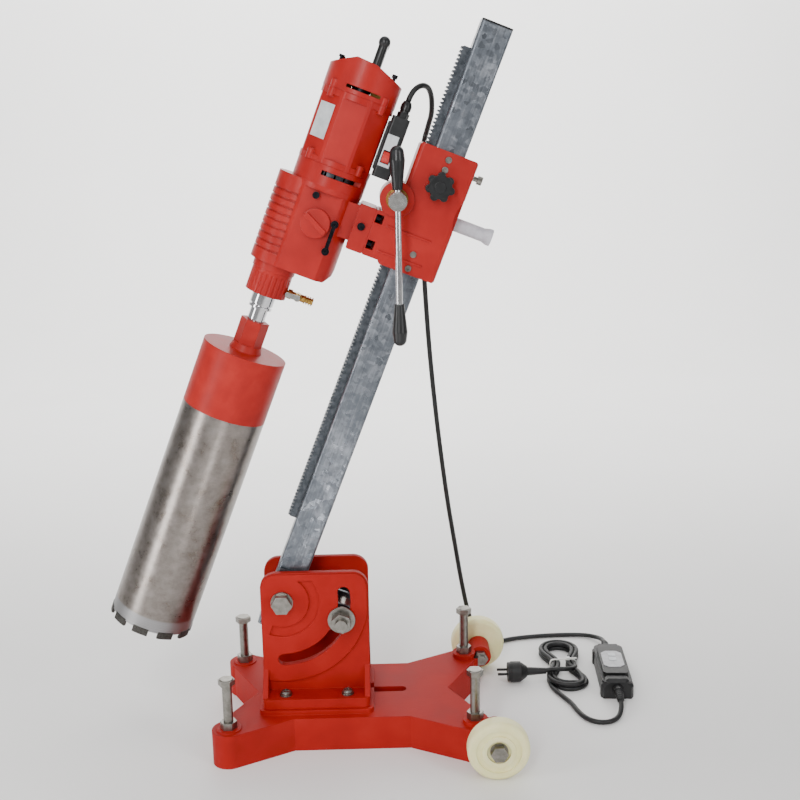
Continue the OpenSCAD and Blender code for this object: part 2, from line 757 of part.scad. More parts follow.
module carriage_body() {
    color("firebrick") tilted() difference() {
        union() {
            intersection() {
                zpad([left_x, -car_y, car_z], [car_x, car_y, car_top], 7);
                ypad([left_x - 1, -car_y - 1, car_z - eps], [car_x + eps, car_y + 1, car_top + eps], 9);
            }
            translate([pinion_x, 0, pinion_z]) ybar(boss_r, -boss_y, boss_y);
            ypad([face_x, -car_y, flange_z0], [left_x + 12, car_y, flange_z1], 2);
            box([pinion_x - 16, -car_y, flange_z1 - eps], [left_x + eps, car_y, pinion_z]);
            for (my = [0, 1], z = [flange_z0 + 12, flange_z1 - 20])
                mirror([0, my, 0]) box([face_x + 22, car_y - eps, z], [20, car_y + 1.5, z + 3]);
        }
        box([bore_x0, -bore_y, car_z - eps], [bore_x1, bore_y, car_top + eps]);
        for (my = [0, 1])
            mirror([0, my, 0]) translate([car_x + 58, 0, car_z + 110]) ybar(64, bore_y + 6, car_y + eps);
        translate([pinion_x, 0, pinion_z]) {
            ybar(pinion_r + 3, -rack_w / 2 - 2, rack_w / 2 + 2);
            ybar(shaft_r + 4, -boss_y - eps, boss_y + eps);
        }
        // knob stud and its shoe's pocket
        translate([knob_x, 0, knob_z]) {
            ybar(stud_r + run, -car_y - eps, -bore_y + eps);
            ybar(shoe_r + gap, -bore_y - 7, -bore_y + eps);
        }
        // guide screws
        for (my = [0, 1], z = guide_z())
            mirror([0, my, 0]) translate([knob_x - 1, 0, z]) ybar(guide_r + seat, bore_y - eps, car_y + eps);
        translate([0, 0, knob_z + 29]) xbar(4 + seat, bore_x1 - eps, car_x + eps);
        // drill flange bolts
        for (my = [0, 1], z = bolt_z()) mirror([0, my, 0]) {
            translate([0, bolt_y, z]) xbar(4 + seat, face_x - eps, face_x + 12);
            box([face_x + 2, bolt_y - 8, z - 7], [face_x + 14, car_y + eps, z + 7]);
        }
        // rear grip
        translate([0, 0, grip_z]) xbar(6 + seat, bore_x1 - eps, car_x + eps);
    }
}

function guide_z() = [car_z + 9, car_z + 32, car_z + 170, car_z + 186];
function bolt_z() = [car_z + 23, car_z + 65];

// Nylon shoes that run on the mast's four faces, near each end of the carriage
module guide_pads() {
    w = mast_w / 2;
    color("ivory") tilted() for (z = [car_z + 3, car_top - 33]) {
        box([w + run, -16, z], [bore_x1, 16, z + 30]);
        for (my = [0, 1]) mirror([0, my, 0]) {
            box([-18, w + run, z], [18, bore_y, z + 30]);
            box([bore_x0, rack_w / 2 + 3, z], [-w - run, w - 3, z + 30]);
        }
    }
}

// Adjusting screws of the guides and the thumb screw at the back
module guide_screws() {
    color("silver") tilted() {
        for (my = [0, 1], z = guide_z()) mirror([0, my, 0]) translate([knob_x - 1, 0, z]) difference() {
            ybar(guide_r, bore_y, car_y + 1.5);
            translate([0, car_y - 1, 0]) rotate([-90, 0, 0]) cylinder(r = 2.9, h = 4, $fn = 6);
        }
        translate([0, 0, knob_z + 29]) {
            xbar(4, bore_x1, car_x + 10);
            translate([car_x + 10, 0, 0]) rotate([0, 90, 0]) cylinder(r = 7, h = 8, $fn = 12);
        }
    }
}

module pinion_bushes() {
    color("darkkhaki") tilted() translate([pinion_x, 0, pinion_z]) for (my = [0, 1])
        mirror([0, my, 0]) difference() {
            union() {
                ybar(shaft_r + 4 - seat, rack_w / 2 + 3, boss_y);
                ybar(shaft_r + 9, boss_y, boss_y + 2.5);
            }
            ybar(shaft_r + run, 0, boss_y + 6);
        }
}

// Shaft, rack pinion and cross-drilled crank hub in one turned piece
module pinion() {
    color("silver") tilted() translate([pinion_x, 0, pinion_z]) difference() {
        union() {
            translate([0, rack_w / 2 + 1, 0]) rotate([90, 0, 0]) gear(rack_m, pinion_n, rack_w + 2, 0.15);
            ybar(shaft_r, -boss_y - 4, boss_y + 8);
            ybar(hub_r, hub_end, -boss_y - 3);
        }
        translate([0, crank_y, 0]) rotate([0, -mast_tilt, 0])
            translate([0, 0, -hub_r - 3]) cylinder(r = rod_r + run, h = 2 * hub_r + 6);
    }
}

function rod_top() = hub_r + 3;

module at_crank() {
    tilted() translate([pinion_x, crank_y, pinion_z]) rotate([0, -mast_tilt, 0]) children();
}

module lever_rod() {
    color("silver") at_crank() translate([0, 0, rod_top() + grip_l - 8 - crank_len + 16])
        cylinder(r = rod_r, h = crank_len - 16);
}

// Tapered round handle, narrow end at its origin, along +Z
module taper_grip() {
    difference() {
        union() {
            cylinder(r1 = 7.5, r2 = grip_r, h = grip_l * 0.68);
            translate([0, 0, grip_l * 0.68]) cylinder(r1 = grip_r, r2 = grip_r - 1.5, h = grip_l * 0.17);
            translate([0, 0, grip_l * 0.85 - 0.01]) intersection() {
                sphere(r = grip_r - 1.5);
                cylinder(r = grip_r, h = grip_r);
            }
        }
        translate([0, 0, -eps]) cylinder(r = rod_r, h = grip_l - 8 + eps);
    }
}

module lever_grips() {
    color("black") at_crank() {
        translate([0, 0, rod_top()]) taper_grip();
        translate([0, 0, rod_top() + 2 * grip_l - crank_len]) mirror([0, 0, 1]) taper_grip();
    }
}

// Seven-lobed clamping knob on its stud
module lock_knob() {
    color("black") tilted() translate([knob_x, 0, knob_z]) {
        ybar(knob_r - 5, -car_y - 28, -car_y - 9);
        for (k = [0:6]) rotate([0, k * 360 / 7, 0]) translate([knob_r - 6, 0, 0])
            ybar(6, -car_y - 27, -car_y - 10, $fn = 32);
        ybar(10, -car_y - 10, -car_y - 1);
        ybar(8.5, -car_y - 31, -car_y - 27);
        ybar(stud_r, -car_y - 5, -bore_y - 4);
    }
}

module brake_shoe() {
    color("peru") tilted() translate([knob_x, 0, knob_z]) ybar(shoe_r, -bore_y - 3.7, -mast_w / 2 - gap);
}

// Plain grey hand grip on a stud, behind the carriage
module rear_grip() {
    color("lightgray") tilted() translate([0, 0, grip_z]) {
        xbar(6, bore_x1 + 1, car_x + 8);
        difference() {
            union() {
                xbar(11, car_x, car_x + 50);
                translate([car_x + 50, 0, 0]) rotate([0, 90, 0]) cylinder(r1 = 11, r2 = 13.5, h = 8);
                xbar(13.5, car_x + 58, car_x + 64);
            }
            xbar(6, car_x - eps, car_x + 8);
        }
    }
}

// ---- drill ----

module gearbox() {
    slot_z = gear_z1 + 16;
    color("firebrick") tilted() difference() {
        union() {
            translate([sp_x, 0, gear_z0]) cylinder(r = gear_r, h = gear_h);
            intersection() {
                translate([mo_x, 0, gear_z0 - eps]) cylinder(r = motor_r - 3, h = gear_h + 2 * eps);
                translate([0, gear_y, 0]) rotate([90, 0, 0]) linear_extrude(height = 2 * gear_y)
                    polygon([[sp_x, gear_z0], [mo_x + 44, gear_z0], [mo_x + 54, gear_z0 + 12],
                        [mo_x + motor_r, gear_z0 + 42], [mo_x + motor_r, gear_z1], [sp_x, gear_z1]]);
            }
            translate([mo_x, 0, gear_z1 - 8]) cylinder(r1 = motor_r - 3, r2 = motor_r - 1, h = 8);
            translate([mo_x, 0, gear_z1]) cylinder(r = motor_r - 1, h = 32);
            // mounting plate with its screw and the web above it
            box([mo_x + 40, -38, flange_z0 + 12], [face_x - 26, 38, flange_z1 - 4]);
            ypad([face_x - 27, -car_y, flange_z0], [face_x, car_y, flange_z1], 3);
            // foot of the plain clip for the spanner
            box([clip_x - 3, -gear_y - 6, gear_z0 + 66], [clip_x + 3, -gear_y + 3, gear_z0 + 78]);
        }
        // ribs round the spindle end
        for (k = [0:8]) translate([sp_x, 0, gear_z0 + 18 + k * 12]) difference() {
            translate([-gear_r - 5, -gear_r - 5, 0]) cube([gear_r + 5, 2 * gear_r + 10, 3]);
            translate([0, 0, -eps]) cylinder(r = gear_r - 2, h = 6);
        }
        // gear chamber
        translate([sp_x, 0, gear_z0 + 22]) cylinder(r = gear_r - 8, h = gear_h - 52);
        translate([mid_x, mid_y, gear_z0 + 52]) cylinder(r = 25, h = gear_h - 82);
        translate([mo_x, 0, gear_z0 + 52]) cylinder(r = 34, h = gear_h - 82);
        // spindle bearings and way through
        translate([sp_x, 0, gear_z0 - eps]) cylinder(r = bore_sp, h = gear_h);
        translate([sp_x, 0, gear_z0 + 6]) cylinder(r = bear_sp + seat, h = 17);
        translate([sp_x, 0, gear_z1 - 31]) cylinder(r = bear_sp + seat, h = 13);
        // armature bearing, fan chamber, air slots
        translate([mo_x, 0, gear_z1 - 31]) cylinder(r = 8, h = 40);
        translate([mo_x, 0, gear_z1 - 8]) cylinder(r = 16 + seat, h = 10);
        translate([mo_x, 0, gear_z1 + 2]) cylinder(r = motor_r - 10, h = 32);
        for (my = [0, 1])
            mirror([0, my, 0]) box([mo_x - 14, 30, slot_z], [mo_x + 52, motor_r + eps, slot_z + 7]);
        // layshaft seats
        translate([mid_x, mid_y, gear_z0 + 44]) cylinder(r = 9 + seat, h = 9);
        translate([mid_x, mid_y, gear_z1 - 31]) cylinder(r = 9 + seat, h = 9);
        // selector shaft
        translate([mo_x + 3, 0, gear_z0 + 85]) ybar(6 + run, -gear_y - eps, -24);
        // plate bolts
        for (s = [-1, 1], z = bolt_z()) translate([0, s * bolt_y, z]) xbar(4 + seat, face_x - 20, face_x + eps);
        translate([face_x - 15, 0, (flange_z0 + flange_z1) / 2 + 3]) ybar(4 + seat, -car_y - eps, -car_y + 14);
        translate([mo_x - 10, 0, case_screw_z]) ybar(3 + seat, -gear_y - 12, -gear_y + 12);
    }
}

module motor_housing() {
    flat = motor_r - 3.5;
    color("firebrick") at_motor() difference() {
        union() {
            intersection() {
                translate([0, 0, motor_z0]) cylinder(r = motor_r, h = motor_h);
                translate([0, 0, motor_z0]) rotate([0, 0, 22.5])
                    cylinder(r = flat / cos(22.5), h = motor_h, $fn = 8);
            }
            translate([0, 0, motor_z0]) cylinder(r = motor_r - 0.5, h = 9);
            translate([0, 0, motor_z1 - 10]) cylinder(r = motor_r - 0.5, h = 10);
            for (a = lug_a()) rotate([0, 0, a]) {
                translate([motor_r - 3, 0, motor_z0]) cylinder(r = 6.5, h = 16, $fn = 32);
                translate([motor_r - 3, 0, motor_z1 - 14]) cylinder(r = 6.5, h = 14, $fn = 32);
            }
        }
        translate([0, 0, motor_z0 - eps]) cylinder(r = motor_r - motor_wall - 3, h = motor_h + 2 * eps);
    }
}

function lug_a() = [45, 135, 225, 315];

// Sloped end cap with the air slot under its lip
module motor_cap() {
    color("firebrick") at_motor() difference() {
        union() {
            intersection() {
                translate([0, 0, motor_z1]) cylinder(r = motor_r, h = 60);
                translate([0, motor_r + eps, 0]) rotate([90, 0, 0])
                    linear_extrude(height = 2 * motor_r + 2 * eps)
                    polygon([[-motor_r - eps, motor_z1], [motor_r + eps, motor_z1],
                        [motor_r + eps, cap_edge], [12, cap_apex - 2], [-20, cap_apex],
                        [-motor_r - eps, cap_edge]]);
            }
            for (a = lug_a())
                rotate([0, 0, a]) translate([motor_r - 3, 0, motor_z1]) cylinder(r = 6.5, h = 12, $fn = 32);
        }
        translate([0, 0, motor_z1 - eps]) cylinder(r = motor_r - motor_wall, h = 23 + eps);
        translate([0, 0, motor_z1 + 20]) cylinder(r = 13 + seat, h = 14);
        for (my = [0, 1]) mirror([0, my, 0]) box([-22, 30, motor_z1 + 7], [32, motor_r + eps, motor_z1 + 12]);
        for (s = [-1, 1]) translate([10, s * handle_y, cap_edge - 4]) cylinder(r = 7 + seat, h = 40);
        for (x = [-44, 42], s = [-1, 1])
            translate([x, s * 20, cap_edge - 8]) cylinder(r = 2.6 + seat, h = 30, $fn = 32);
    }
}

// Round black carrying handle across the cap
module lift_handle() {
    top = cap_apex + 34;
    color("black") at_motor() {
        for (s = [-1, 1]) translate([10, s * handle_y, cap_edge - 4]) cylinder(r = 7, h = 6);
        for (s = [-1, 1]) translate([10, s * handle_y, cap_edge + 2]) cylinder(r = 7, h = top - cap_edge - 2);
        translate([10, 0, top]) {
            ybar(9, -handle_y, handle_y);
            for (s = [-1, 1]) translate([0, s * handle_y, 0]) sphere(r = 9);
        }
    }
}

module drill_screws() {
    zs = cap_edge - 6;
    color("dimgray") {
        at_motor() for (x = [-44, 42], s = [-1, 1]) translate([x, s * 20, zs]) {
            cylinder(r = 2.6, h = 18, $fn = 32);
            translate([0, 0, 18]) cylinder(r = 4.5, h = 4, $fn = 32);
        }
        tilted() {
            for (s = [-1, 1], z = bolt_z()) translate([0, s * bolt_y, z]) {
                xbar(4, face_x - 19, face_x + 2);
                xbar(6.5, face_x + 2, face_x + 10);
            }
            translate([face_x - 15, 0, (flange_z0 + flange_z1) / 2 + 3]) {
                ybar(4, -car_y, -car_y + 13);
                ybar(6, -car_y - 4, -car_y);
            }
            translate([mo_x - 10, 0, case_screw_z]) {
                ybar(3, -gear_y - 6, -gear_y + 11);
                ybar(5.5, -gear_y - 11, -gear_y - 6);
            }
        }
    }
}

module stator() {
    ro = motor_r - motor_wall - 3 - seat;
    color("saddlebrown") at_motor() difference() {
        union() {
            translate([0, 0, motor_z0 + 24]) cylinder(r = ro, h = 52);
            translate([0, 0, motor_z0 + 16]) cylinder(r = ro - 8, h = 68);
        }
        translate([0, 0, motor_z0 + 10]) cylinder(r = 29, h = 80);
    }
}

// Carbon brushes on their holders, reaching in from the cap's wall
module brushes() {
    color("goldenrod") at_motor() for (s = [-1, 1]) rotate([0, 0, s > 0 ? 0 : 180])
        box([15.4, -5, motor_z1 + 4], [motor_r - motor_wall - gap, 5, motor_z1 + 14]);
}

module armature() {
    color("slategray") at_motor() {
        translate([0, 0, gear1_z - 1]) cylinder(r = 5, h = 5);
        translate([0, 0, gear1_z]) rotate([0, 0, atan2(mid_y, mid_x - mo_x)]) gear(m1, n_arm, gear_w, 0.12);
        translate([0, 0, gear1_z + gear_w - 1]) cylinder(r = 6, h = motor_z1 + 31 - gear1_z - gear_w);
        translate([0, 0, gear_z1 + 9]) difference() {
            cylinder(r = motor_r - 14, h = 22);
            for (k = [0:17]) rotate([0, 0, k * 20]) box([16, -1.5, 5], [motor_r, 1.5, 24]);
        }
        translate([0, 0, motor_z0 + 22]) cylinder(r = 27.5, h = 56);
        translate([0, 0, motor_z0 + 14]) cylinder(r = 23, h = 72);
        translate([0, 0, motor_z1 - 4]) cylinder(r = 15, h = 24);
    }
}

module mid_gear() {
    a1 = atan2(-mid_y, mo_x - mid_x);
    a2 = atan2(-mid_y, sp_x - mid_x);
    color("slategray") tilted() translate([mid_x, mid_y, 0]) {
        translate([0, 0, gear_z0 + 45]) cylinder(r = 4, h = gear_z1 - 23 - gear_z0 - 45);
        translate([0, 0, gear1_z]) rotate([0, 0, a1 + 180 / n_mid]) gear(m1, n_mid, gear_w, 0.12);
        translate([0, 0, gear2_z - 2]) rotate([0, 0, a2]) gear(m2, n_pin, gear_w + 4, 0.12);
        translate([0, 0, gear2_z + gear_w]) cylinder(r = 8, h = gear1_z - gear2_z - gear_w);
    }
}

module spindle() {
    a2 = atan2(mid_y, mid_x - sp_x);
    color("silver") at_spindle() difference() {
        union() {
            translate([0, 0, spindle_z0]) cylinder(r = spin_r, h = gear_z1 - 20 - spindle_z0);
            translate([0, 0, spindle_z0 + 22]) cylinder(r = spin_r + 5, h = collar_z0 - 2 - spindle_z0 - 22);
            translate([0, 0, gear2_z]) rotate([0, 0, a2 + 180 / n_sp]) gear(m2, n_sp, gear_w, 0.12);
            translate([0, 0, spindle_z0 - 14]) cylinder(r = spin_r - 2, h = 15);
        }
        translate([0, 0, spindle_z0 + 26]) difference() {
            cylinder(r = spin_r + 8, h = 3);
            translate([0, 0, -eps]) cylinder(r = spin_r + 2.5, h = 6);
        }
        translate([0, 0, spindle_z0 - 15]) cylinder(r = 4, h = 70);
    }
}

module tube_z(r1, r0, z0, z1) {
    difference() {
        translate([0, 0, z0]) cylinder(r = r1, h = z1 - z0);
        translate([0, 0, z0 - eps]) cylinder(r = r0, h = z1 - z0 + 2 * eps);
    }
}

module bearings() {
    color("lightsteelblue") {
        at_spindle() {
            tube_z(bear_sp, spin_r + run, gear_z0 + 6, gear_z0 + 21);
            tube_z(bear_sp, spin_r + run, gear_z1 - 31, gear_z1 - 19);
            tube_z(collar_r - 12, spin_r + run, collar_z0 + 2, collar_z0 + 9);
            tube_z(collar_r - 12, spin_r + run, gear_z0 - 14, gear_z0 - 7);
        }
        at_motor() {
            tube_z(16, 6 + run, gear_z1 - 7, gear_z1 + 2);
            tube_z(13, 6 + run, motor_z1 + 21, motor_z1 + 30);
        }
        tilted() translate([mid_x, mid_y, 0]) {
            tube_z(9, 4 + run, gear_z0 + 44, gear_z0 + 52);
            tube_z(9, 4 + run, gear_z1 - 30, gear_z1 - 23);
        }
    }
}

// Fluted ring that feeds water to the hollow spindle
module water_collar() {
    color("firebrick") at_spindle() difference() {
        union() {
            translate([0, 0, collar_z0]) cylinder(r = collar_r, h = collar_h);
            translate([0, 0, gear_z0 - 12]) cylinder(r = collar_r + 1.5, h = 12);
        }
        translate([0, 0, collar_z0 - eps]) cylinder(r = spin_r + 1, h = collar_h + 2 * eps);
        translate([0, 0, collar_z0 + 2]) cylinder(r = collar_r - 12 + seat, h = collar_h - 9);
        for (k = [0:23]) rotate([0, 0, k * 15 + 7.5])
            translate([collar_r + 0.8, 0, collar_z0 - eps]) cylinder(r = 2, h = collar_h - 17, $fn = 24);
        translate([0, 0, tap_z]) xbar(5 + seat, collar_r - 14, collar_r + 3);
    }
}

module water_tap() {
    color("goldenrod") tilted() translate([0, 0, tap_z + 8]) {
        difference() {
            union() {
                translate([0, 0, -8]) xbar(5, tap_x0 - 10, tap_x0 + 3);
                translate([0, 0, -8]) xbar(8, tap_x0 + 1, tap_x0 + 8);
                translate([0, 0, -8]) xbar(6, tap_x0 + 6, tap_x0 + 30);
                for (k = [0:3]) translate([0, 0, -8]) xbar(7, tap_x0 + 31 + k * 4 - 2, tap_x0 + 31 + k * 4);
                translate([0, 0, -8]) xbar(5, tap_x0 + 28, tap_x0 + 44);
                translate([tap_x0 + 18, 0, -8]) ybar(6.5, -10, 6);
            }
            translate([0, 0, -8]) xbar(3, tap_x0 + 24, tap_x0 + 46);
            translate([tap_x0 + 18, 0, -8]) ybar(3 + run, -11, -2);
        }
    }
}

module tap_lever() {
    color("silver") tilted() translate([tap_x0 + 18, 0, tap_z]) {
        ybar(3, -14, -3);
        ybar(5, -17, -10 - gap);
        ypad([-20, -17, -4], [4, -14.5, 4], 3);
    }
}

module speed_knob() {
    color("firebrick") tilted() translate([mo_x + 3, 0, gear_z0 + 85]) {
        ybar(23, -gear_y - 9, -gear_y - gap);
        rotate([0, 27, 0]) ypad([-21, -gear_y - 17, -4], [21, -gear_y - 8, 4], 3);
        ybar(6, -gear_y - 2, -29);
        translate([6, 0, 0]) ybar(2, -31, -25);
    }
}

// Pin spanner clipped beside the selector
module pin_spanner() {
    color("black") tilted() translate([clip_x, -gear_y - 9, gear_z0 + 72]) {
        difference() {
            union() {
                ypad([-3, -3, -24], [3, 3, 24], 2.5);
                for (s = [-1, 1]) translate([0, 0, s * 22]) ybar(6, -4, 3);
            }
            for (s = [-1, 1]) translate([0, 0, s * 22]) ybar(2.2, -5, -1);
        }
    }
}

module plates() {
    color("white") {
        tilted() difference() {
            box([rk_x - 9, sw_y0 - 0.8, sw_z0 + 18], [rk_x + 9, sw_y0, sw_z0 + 68]);
            at_rocker() box([-7.2, -2, -10.2], [7.2, 2, 10.2]);
        }
        at_motor() rotate([0, 0, -135])
            box([motor_r - 3.5, -16, motor_z0 + 34], [motor_r - 2.7, 16, motor_z0 + 88]);
    }
}

module switch_box() {
    color("black") tilted() difference() {
        union() {
            zpad([sw_x0 + 4, sw_y0, sw_z0], [sw_x1, sw_y1, sw_z1], 4);
            ypad([sw_x0 + 1, sw_y0 + 2, sw_z0 + 10], [sw_x0 + 9, sw_y1 - 2, sw_z1 - 10], 2);
        }
        at_rocker() box([-6.6, -1.2, -9.6], [6.6, 14, 9.6]);
        translate([gl_x, gl_y, sw_z1 - 5]) cylinder(r = 7, h = 6);
        translate([mo_x, 0, 0]) cylinder(r = motor_r + 0.01, h = 2000);
    }
}

module at_rocker() {
    translate([rk_x, sw_y0, rk_z]) children();
}

// Rocker on its cross pin, resting in the off position
module rocker() {
    color("red") tilted() at_rocker() translate([0, 5, 0]) {
        rotate([7, 0, 0]) intersection() {
            box([-6, -7.5, -8.6], [6, 2, 8.6]);
            translate([0, 9, 0]) xbar(16.5, -6, 6);
        }
        xbar(1.8, -6.5, 6.5);
    }
}

module cord_gland() {
    color("black") tilted() translate([gl_x, gl_y, 0]) difference() {
        union() {
            translate([0, 0, gl_z - 5]) cylinder(r = 6.9, h = 6);
            translate([0, 0, gl_z]) cylinder(r = 9.5, h = 8, $fn = 6);
            translate([0, 0, gl_z + 8]) cylinder(r = 7.5, h = 4);
            translate([0, 0, gl_z + 12]) cylinder(r = 8.6, h = 8);
            translate([0, 0, gl_z + 20]) cylinder(r1 = 8.6, r2 = 6, h = gland_h - 20);
        }
        translate([0, 0, gl_z - 6]) cylinder(r = 3, h = gland_h - 4);
    }
}

// ---- core bit ----

module bit_crown() {
    color("firebrick") at_spindle() difference() {
        union() {
            translate([0, 0, hex_top - hex_h]) cylinder(r = hex_af / sqrt(3), h = hex_h, $fn = 6);
            translate([0, 0, crown_top]) cylinder(r1 = 27, r2 = 24, h = neck_h);
            translate([0, 0, crown_z0]) cylinder(r = bit_r, h = crown_h);
        }
        translate([0, 0, crown_z0 - eps]) cylinder(r = bit_r - bit_wall - 2, h = crown_h - 9 + eps);
        translate([0, 0, crown_top - 12]) cylinder(r = 5, h = 90);
        translate([0, 0, hex_top - 15]) cylinder(r = spin_r - 2 + seat, h = 16);
    }
}

module bit_tube() {
    color("silver") at_spindle() tube_z(bit_r, bit_r - bit_wall, bit_bot + seg_h - seg_up, crown_z0);
}

module bit_segments() {
    a = 0.62 * 360 / seg_n;
    color("dimgray") at_spindle() for (k = [0:seg_n - 1]) rotate([0, 0, k * 360 / seg_n])
        translate([0, 0, bit_bot]) rotate_extrude(angle = a, $fn = 96) difference() {
            translate([bit_r - bit_wall - 0.7, 0]) square([bit_wall + 1.4, seg_h]);
            translate([bit_r - bit_wall - seat / 2, seg_h - seg_up]) square([bit_wall + seat, seg_up + eps]);
        }
}

// ---- lead and safety switch ----

module at_prcd() {
    translate([prcd_x, prcd_y, 0]) rotate([0, 0, prcd_a]) children();
}

module prcd_case() {
    l = prcd_l / 2;
    w = prcd_w / 2;
    color("black") at_prcd() difference() {
        union() {
            zpad([-l, -w, 0], [l, w, prcd_h - 8], 12);
            zpad([-l + 22, -w + 4, prcd_h - 9], [l - 22, w - 4, prcd_h], 8);
            for (mx = [0, 1]) mirror([mx, 0, 0]) translate([0, 0, gland_z]) xbar(9.5, l - 1, gland_d);
        }
        for (x = [btn_x0, btn_x1]) box([x - 6, -7, prcd_h - 6], [x + 6, 7, prcd_h + 1]);
    }
}

module prcd_button(x) {
    color("gainsboro") at_prcd()
        box([x - 6 + gap, -7 + gap, prcd_h - 3.5], [x + 6 - gap, 7 - gap, prcd_h + 2.2]);
}

module test_button() { prcd_button(btn_x0); }
module reset_button() { prcd_button(btn_x1); }

module lead_upper() {
    color("black") tilted() sweep_tube(upper_pts, lead_r, 10, 18, [0, 0, 1], [0, 1, 0]);
}

module lead_lower() {
    color("black") sweep_tube(lower_pts, lead_r, 10, 24, [0, 1, 0], -prcd_dir);
}

module lead_tail() {
    color("black") sweep_tube(rear_pts, lead_r, 10, 22, -prcd_dir, [0, 1, 0]);
}

// Outer shape of the tied bundle
module cord_hank() {
    w = hank_w / 2;
    color("black") {
        translate([hank_x - w, hank_y0 + w, 0]) cube([hank_w, hank_l - hank_w, hank_h]);
        for (y = [hank_y0 + w, hank_y0 + hank_l - w]) translate([hank_x, y, 0]) cylinder(r = w, h = hank_h);
    }
}

// Round earthed plug with its moulded strain relief
module plug() {
    x0 = hank_x - hank_w / 2;
    color("black") translate([x0, plug_y, plug_z]) rotate([0, -90, 0]) difference() {
        union() {
            cylinder(r1 = lead_r + 1.2, r2 = 8, h = 36);
            translate([0, 0, 36]) cylinder(r1 = 10, r2 = 18, h = 12);
            translate([0, 0, 48]) cylinder(r = 19, h = 24);
            for (y = [-9.5, 9.5]) translate([0, y, 71]) cylinder(r = 2.4, h = 20);
        }
        translate([0, 0, 66]) difference() {
            cylinder(r = 20, h = 10);
            cylinder(r = 17.6, h = 10);
        }
    }
}

base_casting();
tilt_bracket();
bracket_screws();
base_nuts();
axle_bolts();
pivot_bolt();
wheel_front();
wheel_rear();
level_screw_fl();
level_screw_rl();
level_screw_fr();
level_screw_rr();
mast_tube();
swing_cheeks();
clamp_bolt();
rack();
rack_screws();
mast_cap();
carriage_body();
guide_pads();
guide_screws();
pinion_bushes();
rear_grip();
gearbox();
motor_housing();
motor_cap();
drill_screws();
stator();
brushes();
lift_handle();
plates();
switch_box();
cord_gland();
pin_spanner();
water_collar();
water_tap();
bearings();
pinion();
lever_rod();
lever_grips();
lock_knob();
brake_shoe();
spindle();
bit_crown();
bit_tube();
bit_segments();
mid_gear();
armature();
speed_knob();
rocker();
tap_lever();
prcd_case();
test_button();
reset_button();
lead_upper();
lead_lower();
lead_tail();
cord_hank();
plug();
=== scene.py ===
# Core drill rig: finishes, leads and studio. Lengths in metres unless a name ends in Mm.
import json
import math
import bpy
from mathutils import Matrix, Vector


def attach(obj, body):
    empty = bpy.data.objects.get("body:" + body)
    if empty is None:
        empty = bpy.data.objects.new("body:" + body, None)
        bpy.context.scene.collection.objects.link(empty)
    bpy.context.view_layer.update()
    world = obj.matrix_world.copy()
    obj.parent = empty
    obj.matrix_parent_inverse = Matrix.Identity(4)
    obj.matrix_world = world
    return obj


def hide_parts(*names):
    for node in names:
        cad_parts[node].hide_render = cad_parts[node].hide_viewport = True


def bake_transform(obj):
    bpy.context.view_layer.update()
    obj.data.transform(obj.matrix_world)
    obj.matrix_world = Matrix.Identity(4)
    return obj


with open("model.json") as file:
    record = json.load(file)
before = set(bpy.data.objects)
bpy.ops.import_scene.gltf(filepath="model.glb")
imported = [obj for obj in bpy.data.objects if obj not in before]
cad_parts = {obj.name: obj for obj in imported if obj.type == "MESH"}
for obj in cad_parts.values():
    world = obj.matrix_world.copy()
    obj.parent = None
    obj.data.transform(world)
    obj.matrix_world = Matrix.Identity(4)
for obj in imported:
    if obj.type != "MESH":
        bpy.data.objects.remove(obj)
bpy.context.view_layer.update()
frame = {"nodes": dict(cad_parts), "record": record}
print("loaded", len(frame["nodes"]), "nodes")

# ---- camera
cameraSettings = {
    "place": (0.0575, -1.8477, 1.0145),
    "yaw": 1.00,      # degrees, to the right of straight back
    "pitch": 13.35,   # degrees, looking down
    "roll": -0.99,
    "lens": 52.01,
    "sensor": 36.0,
}


def addCamera(s):
    yaw, pitch, roll = (math.radians(s[k]) for k in ("yaw", "pitch", "roll"))
    ahead = Vector((math.sin(yaw) * math.cos(pitch), math.cos(yaw) * math.cos(pitch), -math.sin(pitch)))
    level = Vector((math.cos(yaw), -math.sin(yaw), 0))
    rise = level.cross(ahead)
    right = math.cos(roll) * level + math.sin(roll) * rise
    up = -math.sin(roll) * level + math.cos(roll) * rise
    camera = bpy.data.objects.new("camera", bpy.data.cameras.new("camera"))
    camera.data.lens = s["lens"]
    camera.data.sensor_width = s["sensor"]
    turn = Matrix((right, up, -ahead)).transposed().to_4x4()
    camera.matrix_world = Matrix.Translation(s["place"]) @ turn
    bpy.context.scene.collection.objects.link(camera)
    bpy.context.scene.camera = camera


addCamera(cameraSettings)
print("camera set")

# ---- the mast leans, so lengths along it and across it have their own directions
mastLean = math.radians(21.5)
mastAxis = Vector((math.sin(mastLean), 0, math.cos(mastLean)))
mastAcross = Vector((math.cos(mastLean), 0, -math.sin(mastLean)))
pivotPoint = Vector((-0.114, 0, 0.244))


def onMast(point):
    # a point given along the leaning mast, in mm, to the standing frame in metres
    x, y, z = (v / 1000 for v in point)
    return pivotPoint + x * mastAcross + Vector((0, y, 0)) + z * mastAxis


def inMetres(points):
    return [Vector(p) / 1000 for p in points]


